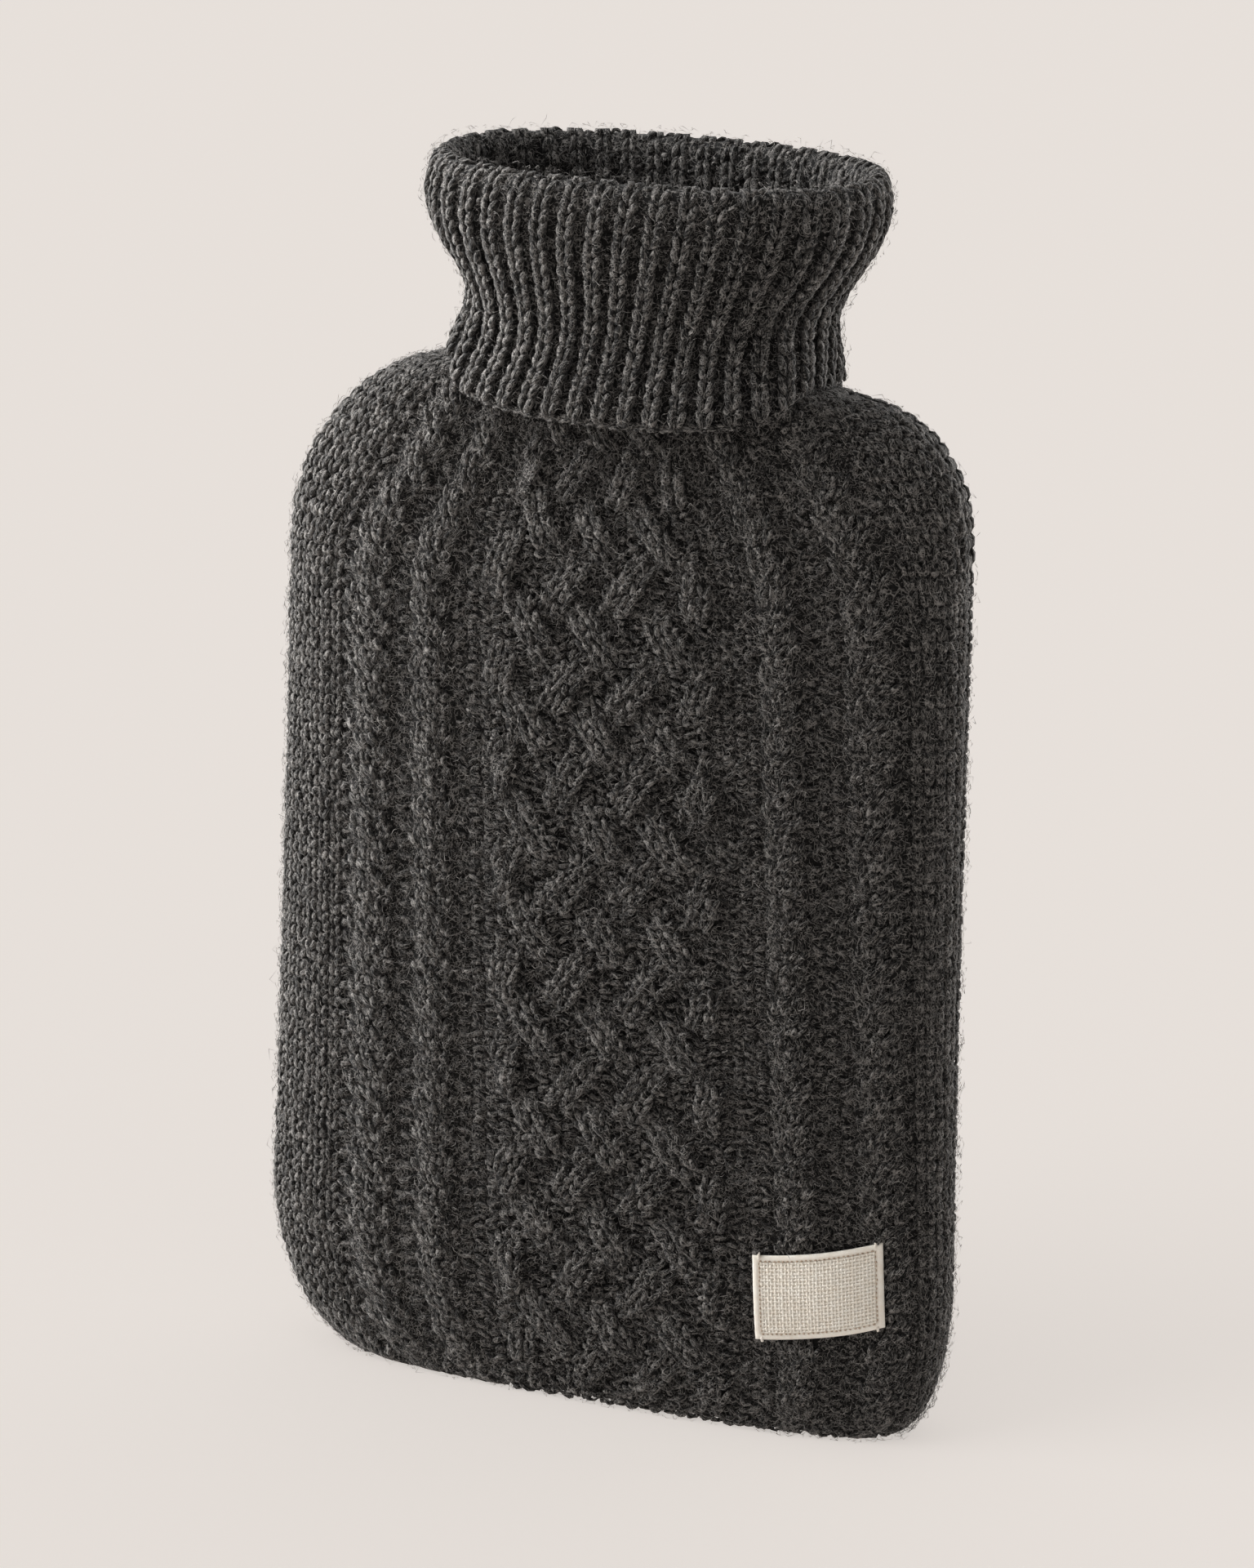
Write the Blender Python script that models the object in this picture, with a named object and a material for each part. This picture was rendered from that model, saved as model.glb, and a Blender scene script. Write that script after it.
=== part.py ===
"""Knitted cover for a two-litre hot water bottle, standing upright and empty.

Front and back panel are knitted flat and sewn together at the sides and along the bottom. The front
carries a wide plait between rope cables. The ribbed collar is knitted up from the neck and folded over
once, so that its cast-off hem lies on the shoulders. A linen label is sewn low on the front.

Frame: +Z up, the front faces -Y and +X is on the right of someone who looks at it. The origin is on the
floor, under the middle of the whole piece. All sizes are in metres.
"""
import math

import bmesh
import bpy
import numpy as np

PART_NAME = "hot_water_bottle_cover"

# Cloth
GAP = 0.0003                # between touching pieces
WALL = 0.0036               # thickness of the plain knit
SELVEDGE_DIP = 0.0008       # how far a panel turns in at its sewn edge

# Body, outside the cloth
NECK_HEIGHT = 0.3011        # where the shoulders end and the neck opens
NECK_HALF = 0.0450          # half the width of the neck opening
HALF_WIDTH_LOW = 0.1059     # just above the bottom corners
HALF_WIDTH_MID = 0.1038
HALF_WIDTH_TOP = 0.1027     # just below the shoulders
HALF_DEPTH = 0.0257
HALF_DEPTH_BASE = 0.0224
HALF_DEPTH_NECK = 0.0235
BASE_EDGE = 0.0030          # radius between the base and the faces
LOW_HEIGHT = 0.0500         # heights that the three half widths are given at
TOP_HEIGHT = 0.2570
SQUARE_BASE = 3.05          # superellipse power of the cross-section at the base
SQUARE_BODY = 2.48          # and above it
SWAY = 0.0026               # how far the top stands to the left of the base
SHOULDER_TILT = 0.012       # the right shoulder stands higher than the left one

MIDDLE = (0.0028, 0.0051)        # middle of the whole piece, which becomes the origin

# The two sides of the body: how much narrower each one is than the widths above, how far its bottom corner
# is drawn in and up, and how far below the neck its shoulder starts.
SIDES = {
    #         narrower  foot_in  foot_rise  foot_power  shoulder_rise  shoulder_power
    "left":  (0.0014, 0.0325, 0.0550, 1.90, 0.0560, 1.96),
    "right": (-0.0006, 0.0152, 0.0460, 2.10, 0.0440, 2.25),
}

# Knitted layout across the front, from the left seam to the right one, at half the girth.
HALF_GIRTH = 0.1130
FRONT_BANDS = (
    # kind       width    steps
    ("plain",  0.0310, 5),
    ("groove", 0.0036, 1),
    ("rope",   0.0150, 4),
    ("groove", 0.0052, 1),
    ("rope",   0.0135, 4),
    ("purl",   0.0122, 2),
    ("plait",  0.0650, 16),
    ("purl",   0.0138, 2),
    ("rope",   0.0127, 4),
    ("purl",   0.0113, 2),
    ("rope",   0.0167, 4),
    ("groove", 0.0030, 1),
    ("plain",  0.0230, 4),
)
RISE = {"plain": 0.0012, "groove": -0.0004, "purl": 0.0, "rope": 0.0027, "plait": 0.0031}
CABLE_PERIOD = 0.0290       # height of one full repeat of plait and ropes
CROSSING_HEIGHT = 0.0245    # a height at which strands of the plait cross
PLAIT_PITCH = 0.0200        # between crossings side by side
STRAND_HALF = 0.0046        # half the width of one strand of the plait
RELIEF_FROM = 0.0020        # heights between which the relief fades in above the base
RELIEF_FULL = 0.0140
DRIFT_TOP = 0.0028          # the cables lean: their shift to the right high up,
DRIFT_SLOPE = 0.051         # and how much it grows per metre down from here
DRIFT_HEIGHT = 0.2400
GATHER_FROM = 0.2350        # the middle columns draw together from here to the neck
GATHER = 0.32

# Rows of the panels
COURSE = CABLE_PERIOD / 5   # height of a row of faces on the front
BACK_COURSE = 0.0105
LINING_COURSE = 0.0400
BACK_STEPS = 28
LINING_STEPS = 14
EDGE_HEIGHTS = (0.0, 0.0006, 0.0030, 0.0064, 0.0100)
SHOULDER_ROWS = 12
LINING_SHOULDER_ROWS = 6
OUTER_BASE = (0.0, 0.4, 0.8)  # rows of the base, as shares of the way from the seam to the base's edge
LINING_BASE = (0.0, 0.6)
SECTION_POINTS = 721        # points from which a cross-section's girth is measured

# Collar: sizes outside the folded band and inside it, by height, and how far each stands to the right
LAYER = 0.0035              # thickness of each layer of the folded rib
COLLAR_OUTSIDE = (
    # at       height   half_width  half_depth  middle
    ("hem",   0.2948, 0.0562, 0.0362, 0.0040),
    ("waist", 0.3130, 0.0536, 0.0317, 0.0034),
    ("flare", 0.3470, 0.0672, 0.0386, 0.0020),
)
COLLAR_INSIDE = (
    ("neck",  NECK_HEIGHT + GAP, NECK_HALF - LAYER, HALF_DEPTH_NECK - LAYER, -0.0012),
    ("waist", 0.3130, 0.0458, 0.0239, 0.0034),
    ("flare", 0.3470, 0.0592, 0.0306, 0.0020),
)
COLLAR_SQUARE = 2.30
RIM_HEIGHT = 0.0100         # of the roll above the flare
HEM_DROOP = 0.0077          # the hem hangs this much lower at the front and back
HEM_CLEARANCE = 0.0005      # between the hem and the shoulder it lies on
HEM_EASING = 0.25           # how often its heights are evened out, for each of its points
RIBS = 40
RIB_DEPTH = 0.0016
RIB_SLANT = 0.0060          # how far a rib moves round from the hem to the rim
COLLAR_LEAN = 0.0090        # how far the rim leans to the back
RIM_TILT = (-0.012, 0.095)  # slope of the rim along X and along Y
COLUMNS_PER_RIB = 3
LINING_COLUMNS = 48         # round the hidden faces between the layers

# Label
LABEL_WIDTH = 0.0370
LABEL_HEIGHT = 0.0250
LABEL_THICK = 0.0010
LABEL_PLACE = (0.0748, 0.0447)  # its middle: distance round the front from x = 0, and height
LABEL_SLOPE = 0.20          # its upper edge rises to the right
LABEL_LEAN = 0.07           # and its sides lean to the left
LABEL_SEAT = 0.0012         # the knit under it is pressed down to this
LABEL_MARGIN = 0.006        # and so is this much round it
LABEL_STEPS = (10, 6)

YARN = (0.045, 0.044, 0.043, 1.0)
LINEN = (0.68, 0.62, 0.52, 1.0)


def ease(t):
    """0 to 1 with level ends."""
    t = np.clip(t, 0.0, 1.0)
    return t * t * (3 - 2 * t)


def corner(t, power):
    """How far a rounded corner has drawn in, from 0 where it starts (t = 0) to 1 at its tip (t = 1)."""
    t = np.clip(t, 0.0, 1.0)
    return 1 - (1 - t**power) ** (1 / power)


# ---------------------------------------------------------------- body

def straight_half_width(z):
    """Half width of the body's sides, without their corners."""
    k = np.clip((z - LOW_HEIGHT) / (TOP_HEIGHT - LOW_HEIGHT), 0, 1)
    ends = HALF_WIDTH_LOW + (HALF_WIDTH_TOP - HALF_WIDTH_LOW) * k
    return ends + (HALF_WIDTH_MID - (HALF_WIDTH_LOW + HALF_WIDTH_TOP) / 2) * 4 * k * (1 - k)


def half_width(side, z, inset=0.0):
    """Half width at height z on one side, of the surface that lies inset below the outer one."""
    narrower, foot_in, foot_rise, foot_power, shoulder_rise, shoulder_power = SIDES[side]
    width = straight_half_width(z) - narrower - inset
    foot = 1 - (z - inset) / (foot_rise - inset)
    shoulder = 1 - (NECK_HEIGHT - inset - z) / (shoulder_rise - inset)
    width -= foot_in * corner(foot, foot_power)
    return width - (HALF_WIDTH_TOP - narrower - inset - NECK_HALF) * corner(shoulder, shoulder_power)


def half_depth(z, inset=0.0):
    """Half depth of the body at height z."""
    depth = HALF_DEPTH_BASE + (HALF_DEPTH - HALF_DEPTH_BASE) * ease(z / 0.045)
    depth += (HALF_DEPTH_NECK - HALF_DEPTH) * ease((z - 0.225) / (NECK_HEIGHT - 0.225))
    return depth - inset - BASE_EDGE * corner(1 - (z - inset) / BASE_EDGE, 2)


def section(z, inset=0.0):
    """The front half of the cross-section at height z: x and depth from the left seam to the right one."""
    square = SQUARE_BASE + (SQUARE_BODY - SQUARE_BASE) * min(z / 0.06, 1)
    turn = np.linspace(0, math.pi, SECTION_POINTS)
    across = -np.sign(np.cos(turn)) * np.abs(np.cos(turn)) ** (2 / square)
    deep = np.abs(np.sin(turn)) ** (2 / square)
    width = np.where(across < 0, half_width("left", z, inset), half_width("right", z, inset))
    return across * width, deep * half_depth(z, inset)


def round_the_front(x, y):
    """Distance round a cross-section from x = 0, negative to the left."""
    run = np.concatenate(([0], np.cumsum(np.hypot(np.diff(x), np.diff(y)))))
    return run - np.interp(0, x, run)


def wale_places(columns, z, x, y):
    """Where columns of stitches, given at half the girth, cross the section: distances round it."""
    run = round_the_front(x, y)
    u = columns / HALF_GIRTH
    gather = GATHER * ease((z - GATHER_FROM) / 0.05)
    drift = DRIFT_TOP + DRIFT_SLOPE * max(DRIFT_HEIGHT - z, 0)
    lean = drift * (1 - u**4) * (1 + 0.45 * u)
    reach = np.where(u < 0, -run[0], run[-1])
    return u * (1 - gather * (1 - u * u)) * reach + lean * (1 - ease((z - 0.27) / 0.03))


def panel_point_row(columns, z, depth_share=1.0, inset=0.0):
    """One row of points across the front at height z; depth_share < 1 draws it in towards the bottom seam."""
    x, y = section(z, inset)
    places = wale_places(columns, z, x, y)
    run = round_the_front(x, y)
    px = np.interp(places, run, x) * (0.94 + 0.06 * depth_share)
    py = -np.interp(places, run, y) * depth_share
    py[0] = py[-1] = 0.0
    sway = SWAY * (0.5 - z / 0.28)
    tilt = SHOULDER_TILT * px * ease((z - 0.20) / 0.09)
    return np.stack([px + sway, py - GAP / 2, z + tilt], axis=1)


def row_heights(edge, course, shoulder_rows, inset=0.0):
    """Heights of a panel's rows above the base: closer at the base's edge, and closing in on the neck."""
    first = [inset + h for h in edge]
    spring = NECK_HEIGHT - SIDES["left"][4]
    count = round((spring - first[-1]) / course)
    sides = np.linspace(first[-1], spring, count + 1)[1:]
    angles = np.linspace(0, math.pi / 2, shoulder_rows + 1)[1:]
    shoulders = spring + (NECK_HEIGHT - inset - spring) * np.sin(angles)
    return first + list(sides) + list(shoulders)


def panel_rows(columns, heights, base_shares, inset=0.0):
    """Rows of points from the bottom seam out over the base and up to the neck."""
    base = [panel_point_row(columns, inset, share, inset) for share in base_shares]
    return np.array(base + [panel_point_row(columns, z, 1.0, inset) for z in heights])


# ---------------------------------------------------------------- relief of the knitting

def band_columns():
    """Column places of the faces across the front, and the bands as (kind, from, to)."""
    places = [-HALF_GIRTH]
    bands = []
    for kind, width, steps in FRONT_BANDS:
        start = places[-1]
        bands.append((kind, start, start + width))
        places += [start + width * i / steps for i in range(1, steps + 1)]
    return np.array(places), bands


def rope_height(t, z):
    """Height of a two-strand rope at t from -1 to 1 across it, from 0 to 1."""
    twist = math.cos(2 * math.pi * 2 * z / CABLE_PERIOD + 2.2 * t)
    return math.sqrt(max(1 - t * t, 0)) * (0.70 + 0.30 * twist)


def plait_height(a, z):
    """Height of the plait, from 0 to 1. Its strands cross in rows, leaning to the left and right in turn."""
    best = 0.12
    half = CABLE_PERIOD / 2
    nearest = round((z - CROSSING_HEIGHT) / half)
    for row in range(nearest - 1, nearest + 2):
        crossings, side = ((-1, 0, 1), -1) if row % 2 == 0 else ((-1.5, -0.5, 0.5, 1.5), 1)
        for place in crossings:
            da = a - place * PLAIT_PITCH
            dz = z - CROSSING_HEIGHT - row * half
            at_edge = abs(place) > 1
            run_a, run_z = (0.0, half) if at_edge else (side * PLAIT_PITCH / 2, half)
            length = math.hypot(run_a, run_z)
            along = (da * run_a + dz * run_z) / length
            across = (da * run_z - dz * run_a) / length
            ridge = 1 - (across / STRAND_HALF) ** 2
            taper = 1 - (abs(along) / (0.62 * length)) ** 2
            if ridge > 0 and taper > 0:
                best = max(best, math.sqrt(ridge) * (0.45 + 0.55 * taper))
    return best


def under_label(a, z):
    """Whether a place on the front lies under the label or next to it."""
    along = a - LABEL_PLACE[0] + LABEL_LEAN * (z - LABEL_PLACE[1])
    up = z - LABEL_PLACE[1] - LABEL_SLOPE * (a - LABEL_PLACE[0])
    return abs(along) < LABEL_WIDTH / 2 + LABEL_MARGIN and abs(up) < LABEL_HEIGHT / 2 + LABEL_MARGIN


def knit_height(column, place, z, bands):
    """How far the knit stands out at a column and height. place is its distance round the front."""
    kind, start, end = next((b for b in bands if column <= b[2] + 1e-9), bands[-1])
    t = (2 * column - start - end) / (end - start)
    if kind == "rope":
        height = RISE[kind] * rope_height(t, z)
    elif kind == "plait":
        height = RISE[kind] * plait_height(column, z) if abs(t) < 1 else 0.0
    elif kind == "plain":
        height = RISE[kind] * (1 - t**4)
    else:
        height = RISE[kind]
    if under_label(place, z):
        height = min(height, LABEL_SEAT)
    fade = ease((z - RELIEF_FROM) / (RELIEF_FULL - RELIEF_FROM)) * (1 - ease((z - 0.286) / 0.012))
    return height * fade


def grid_normals(points):
    """Outward normals of a panel's rows of points; at the seams they stay in the seam's plane."""
    along = np.gradient(points, axis=0)
    across = np.gradient(points, axis=1)
    normals = np.cross(across, along)
    for end, side in ((0, -1), (-1, 1)):
        normals[:, end] = side * along[:, end, ::-1] * (1, 0, -1)
    return normals / np.linalg.norm(normals, axis=2, keepdims=True)


def raise_knit(points, columns, heights, bands, base_rows):
    """Move a panel's points out by the height of the knitting, and in at the sewn edges."""
    normals = grid_normals(points)
    for i, z in enumerate(heights):
        row = base_rows + i
        lift = np.zeros(len(columns))
        if bands:
            places = wale_places(columns, z, *section(z))
            lift = np.array([knit_height(c, p, z, bands) for c, p in zip(columns, places)])
        lift[0] = lift[-1] = -SELVEDGE_DIP * ease(z / 0.02) * (1 - ease((z - 0.286) / 0.012))
        points[row] += normals[row] * lift[:, None]
    return points


# ---------------------------------------------------------------- mesh helpers

def add_rows(bm, rows):
    """Vertices for rows of points."""
    return [[bm.verts.new(p) for p in row] for row in rows]


def join_lines(bm, one, two, closed=False):
    """Fill the strip between two lines of vertices, which may have different numbers of points."""
    if closed:
        one, two = one + one[:1], two + two[:1]
    place_one = line_shares(one)
    place_two = line_shares(two)
    i = j = 0
    while i < len(one) - 1 or j < len(two) - 1:
        step_one = place_one[i + 1] if i < len(one) - 1 else 2
        step_two = place_two[j + 1] if j < len(two) - 1 else 2
        if abs(step_one - step_two) < 1e-6:
            bm.faces.new((one[i], one[i + 1], two[j + 1], two[j]))
            i, j = i + 1, j + 1
        elif step_one < step_two:
            bm.faces.new((one[i], one[i + 1], two[j]))
            i += 1
        else:
            bm.faces.new((one[i], two[j + 1], two[j]))
            j += 1


def line_shares(line):
    """Share of a line's length at each of its vertices."""
    steps = [(b.co - a.co).length for a, b in zip(line, line[1:])]
    total = sum(steps)
    shares = [0.0]
    for step in steps:
        shares.append(shares[-1] + step / total)
    return shares


def join_grid(bm, rows, closed=False):
    """Faces between neighbouring rows that have the same number of points."""
    for low, high in zip(rows, rows[1:]):
        last = len(low) if closed else len(low) - 1
        for i in range(last):
            j = (i + 1) % len(low)
            bm.faces.new((low[i], low[j], high[j], high[i]))


def finish_object(bm, name, material, collection):
    """Turn a closed bmesh into a named object, flat quads split the same way each time."""
    bmesh.ops.triangulate(bm, faces=bm.faces[:], quad_method="SHORT_EDGE")
    bmesh.ops.recalc_face_normals(bm, faces=bm.faces[:])
    bmesh.ops.translate(bm, verts=bm.verts[:], vec=(-MIDDLE[0], -MIDDLE[1], 0.0))
    mesh = bpy.data.meshes.new(name)
    bm.to_mesh(mesh)
    bm.free()
    mesh.shade_smooth()
    mesh.set_sharp_from_angle(angle=math.radians(50))
    mesh.materials.append(material)
    part = bpy.data.objects.new(name, mesh)
    collection.objects.link(part)
    return part


def make_material(name, color, roughness):
    material = bpy.data.materials.new(name)
    material.use_nodes = True
    shader = material.node_tree.nodes["Principled BSDF"]
    shader.inputs["Base Color"].default_value = color
    shader.inputs["Roughness"].default_value = roughness
    shader.inputs["Metallic"].default_value = 0.0
    return material


# ---------------------------------------------------------------- pieces

def make_panel(name, columns, course, bands, facing, material, collection):
    """Half of the body as one closed shell of cloth: outer face, inner face and its four edges."""
    heights = row_heights(EDGE_HEIGHTS, course, SHOULDER_ROWS)
    outer = panel_rows(columns, heights, OUTER_BASE)
    outer = raise_knit(outer, columns, heights, bands, len(OUTER_BASE))
    inner_columns = np.linspace(-HALF_GIRTH, HALF_GIRTH, LINING_STEPS + 1)
    inner_heights = row_heights(EDGE_HEIGHTS[::2], LINING_COURSE, LINING_SHOULDER_ROWS, WALL)
    inner = panel_rows(inner_columns, inner_heights, LINING_BASE, WALL)
    bm = bmesh.new()
    sign = np.array([1.0, facing, 1.0])
    skin = add_rows(bm, outer * sign)
    lining = add_rows(bm, inner * sign)
    join_grid(bm, skin)
    join_grid(bm, lining)
    join_lines(bm, skin[0], lining[0])
    join_lines(bm, skin[-1], lining[-1])
    for end in (0, -1):
        join_lines(bm, [row[end] for row in skin], [row[end] for row in lining])
    return finish_object(bm, name, material, collection)


def make_front_panel(material, collection):
    columns, bands = band_columns()
    return make_panel("front_panel", columns, COURSE, bands, 1.0, material, collection)


def make_back_panel(material, collection):
    columns = np.linspace(-HALF_GIRTH, HALF_GIRTH, BACK_STEPS + 1)
    return make_panel("back_panel", columns, BACK_COURSE, (), -1.0, material, collection)


def from_table(table, height):
    """Half width, half depth and middle of the collar at a height, eased from row to row of its table."""
    low, high = table[:2] if height <= table[1][1] else table[1:]
    k = ease((height - low[1]) / (high[1] - low[1]))
    return [a + (b - a) * k for a, b in zip(low[2:], high[2:])]


def oval(width, depth, count, shift=0.0):
    """Evenly spaced points round an oval from its right end, shifted round by a distance."""
    turn = np.linspace(0, 2 * math.pi, SECTION_POINTS)
    x = width * np.sign(np.cos(turn)) * np.abs(np.cos(turn)) ** (2 / COLLAR_SQUARE)
    y = depth * np.sign(np.sin(turn)) * np.abs(np.sin(turn)) ** (2 / COLLAR_SQUARE)
    run = np.concatenate(([0], np.cumsum(np.hypot(np.diff(x), np.diff(y)))))
    at = (np.arange(count) / count * run[-1] + shift) % run[-1]
    return np.interp(at, run, x), np.interp(at, run, y)


def shoulder_height(x, y):
    """Height of the body's outer surface over a point inside its outline, and 0 outside it."""
    low, high = 0.20, NECK_HEIGHT
    def covers(z):
        width = half_width("left" if x < 0 else "right", z)
        return (abs(x) / width) ** SQUARE_BODY + (abs(y) / half_depth(z)) ** SQUARE_BODY < 1
    if covers(high) or not covers(low):
        return NECK_HEIGHT if covers(high) else 0.0
    for _ in range(30):
        mid = (low + high) / 2
        low, high = (mid, high) if covers(mid) else (low, mid)
    return low + SHOULDER_TILT * x


def hem_heights(x, y, table_height, depth):
    """Height of the hem round the collar: it hangs free at the front and back and lies on the shoulders."""
    heights = []
    for px, py in zip(x, y):
        free = table_height - HEM_DROOP * (py / depth) ** 2
        inward = 1 - 1.4 * LAYER / math.hypot(px, py)
        rest = shoulder_height(px * inward, py * inward) + HEM_CLEARANCE
        heights.append(max(free, rest))
    smooth = np.array(heights)
    for _ in range(round(len(heights) * HEM_EASING)):
        smooth = np.maximum(smooth, (np.roll(smooth, 1) + 2 * smooth + np.roll(smooth, -1)) / 4)
    return smooth


def rib_wave(count, phase):
    """Depth of the ribs round a ring of points: the purl column between two knit columns lies deep."""
    columns = np.arange(count) * RIBS / count + phase
    return RIB_DEPTH * (0.5 - 0.5 * np.cos(2 * math.pi * columns)) ** 0.6 - RIB_DEPTH / 2


def make_collar(material, collection):
    """The folded rib as one closed tube: outer layer, rolled rim, inner layer, and the slit between them."""
    fine = RIBS * COLUMNS_PER_RIB
    hem_z = COLLAR_OUTSIDE[0][1]
    flare_z = COLLAR_OUTSIDE[-1][1]
    neck_z = COLLAR_INSIDE[0][1]

    def ring(table, height, inset, count, ribbed, lift=0.0):
        """A ring of points round the outer or inner layer; lift raises it above the height it is measured at."""
        width, depth, middle = from_table(table, height)
        low_z = table[0][1]
        carry = (height + lift - low_z) / (flare_z + RIM_HEIGHT - low_z)
        x, y = oval(width - inset, depth - inset, count, RIB_SLANT * (carry - 0.5))
        if ribbed:
            outward = 1.0 if table is COLLAR_OUTSIDE else -1.0
            stretch = 1 + outward * rib_wave(count, 0.0) / np.hypot(x, y)
            x, y = x * stretch, y * stretch
        if table is COLLAR_OUTSIDE:
            hem = hem_heights(x, y, hem_z, depth)
            z = hem + (flare_z - hem) * (height - hem_z) / (flare_z - hem_z)
        else:
            start = neck_z + SHOULDER_TILT * x
            z = start + (flare_z - start) * (height - neck_z) / (flare_z - neck_z)
        z = z + lift
        carry = np.clip((z - low_z) / (flare_z + RIM_HEIGHT - low_z), 0, 1)
        z = z + ease(carry) * (RIM_TILT[0] * x + RIM_TILT[1] * y)
        return np.stack([x + middle, y + COLLAR_LEAN * carry, z], axis=1)

    def heights(start, count):
        return [start + (flare_z - start) * i / count for i in range(count + 1)]

    band = COLLAR_OUTSIDE[-1][2] - COLLAR_INSIDE[-1][2]
    outside = [ring(COLLAR_OUTSIDE, h, 0, fine, True) for h in heights(hem_z, 8)]
    roll = []
    for degrees in (30, 60, 90, 120, 150):
        angle = math.radians(degrees)
        over = band / 2 * (1 - math.cos(angle))
        roll.append(ring(COLLAR_OUTSIDE, flare_z, over, fine, True, RIM_HEIGHT * math.sin(angle)))
    inside = [ring(COLLAR_INSIDE, h, 0, fine, True) for h in reversed(heights(neck_z, 6))]
    slit_in = [ring(COLLAR_INSIDE, h, -LAYER, LINING_COLUMNS, False) for h in heights(neck_z, 4)]
    slit_top = [ring(COLLAR_OUTSIDE, flare_z, band / 2, LINING_COLUMNS, False, RIM_HEIGHT - LAYER)]
    slit_out = [ring(COLLAR_OUTSIDE, h, LAYER, LINING_COLUMNS, False) for h in reversed(heights(hem_z, 5))]
    bm = bmesh.new()
    knit = add_rows(bm, outside + roll + inside)
    slit = add_rows(bm, slit_in + slit_top + slit_out)
    join_grid(bm, knit, closed=True)
    join_grid(bm, slit, closed=True)
    join_lines(bm, knit[-1], slit[0], closed=True)
    join_lines(bm, slit[-1], knit[0], closed=True)
    return finish_object(bm, "collar", material, collection)


def make_label(material, collection):
    """A thin curved patch that lies on the pressed knit."""
    across, up = LABEL_STEPS
    bm = bmesh.new()
    layers = []
    for lift in (LABEL_SEAT + GAP, LABEL_SEAT + GAP + LABEL_THICK):
        rows = []
        for j in range(up + 1):
            row = []
            for i in range(across + 1):
                along = (i / across - 0.5) * LABEL_WIDTH
                rise = (j / up - 0.5) * LABEL_HEIGHT
                a = LABEL_PLACE[0] + along - LABEL_LEAN * rise
                z = LABEL_PLACE[1] + rise + LABEL_SLOPE * along
                row.append(front_point(a, z, lift))
            rows.append(row)
        layers.append(add_rows(bm, rows))
    for layer in layers:
        join_grid(bm, layer)
    for end in (0, -1):
        join_lines(bm, layers[0][end], layers[1][end])
        join_lines(bm, [row[end] for row in layers[0]], [row[end] for row in layers[1]])
    return finish_object(bm, "label", material, collection)


def front_point(a, z, lift):
    """A point above the front's smooth surface, at distance a round it and height z."""
    step = 0.0005
    here = smooth_front(a, z)
    normal = np.cross(smooth_front(a + step, z) - here, smooth_front(a, z + step) - here)
    return here + normal / np.linalg.norm(normal) * lift


def smooth_front(a, z):
    x, y = section(z)
    run = round_the_front(x, y)
    px = np.interp(a, run, x)
    tilt = SHOULDER_TILT * px * ease((z - 0.20) / 0.09)
    return np.array([px + SWAY * (0.5 - z / 0.28), -np.interp(a, run, y) - GAP / 2, z + tilt])


def main():
    for old in list(bpy.data.objects):
        bpy.data.objects.remove(old, do_unlink=True)
    collection = bpy.data.collections.new(PART_NAME)
    bpy.context.scene.collection.children.link(collection)
    yarn = make_material("charcoal_wool_yarn", YARN, 0.95)
    rib_yarn = make_material("charcoal_wool_rib", YARN, 0.95)
    back_yarn = make_material("charcoal_wool_back", YARN, 0.95)
    linen = make_material("natural_linen", LINEN, 0.9)
    make_front_panel(yarn, collection)
    make_back_panel(back_yarn, collection)
    make_collar(rib_yarn, collection)
    make_label(linen, collection)


main()
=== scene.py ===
"""Looks of a cable-knit hot water bottle cover: its stitches, folded rib, linen label and fuzz."""
import math

import bpy
import numpy as np
from bpy.props import FloatProperty, FloatVectorProperty, IntProperty, PointerProperty
from mathutils import Matrix, Vector


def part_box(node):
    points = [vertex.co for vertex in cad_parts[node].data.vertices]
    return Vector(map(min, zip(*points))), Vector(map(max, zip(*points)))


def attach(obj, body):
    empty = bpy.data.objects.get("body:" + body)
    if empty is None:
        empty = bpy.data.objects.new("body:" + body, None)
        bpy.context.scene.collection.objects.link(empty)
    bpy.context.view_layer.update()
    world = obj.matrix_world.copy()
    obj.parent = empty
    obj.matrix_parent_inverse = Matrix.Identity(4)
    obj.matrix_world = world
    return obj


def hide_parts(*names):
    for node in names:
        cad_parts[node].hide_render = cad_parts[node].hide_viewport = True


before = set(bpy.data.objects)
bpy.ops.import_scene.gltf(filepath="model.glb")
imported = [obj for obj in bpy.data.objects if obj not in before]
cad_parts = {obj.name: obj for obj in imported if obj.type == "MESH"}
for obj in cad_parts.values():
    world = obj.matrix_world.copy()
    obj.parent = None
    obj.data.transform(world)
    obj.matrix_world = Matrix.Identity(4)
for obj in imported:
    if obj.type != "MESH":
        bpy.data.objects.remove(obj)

bl_info = {
    "name": "Cable-knit hot water bottle cover",
    "version": (1, 0, 0),
    "blender": (4, 5, 0),
    "location": "3D View > Sidebar > Cover",
    "description": "Knits, labels and lights a hot water bottle cover around its solids",
    "category": "Add Mesh",
}

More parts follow.
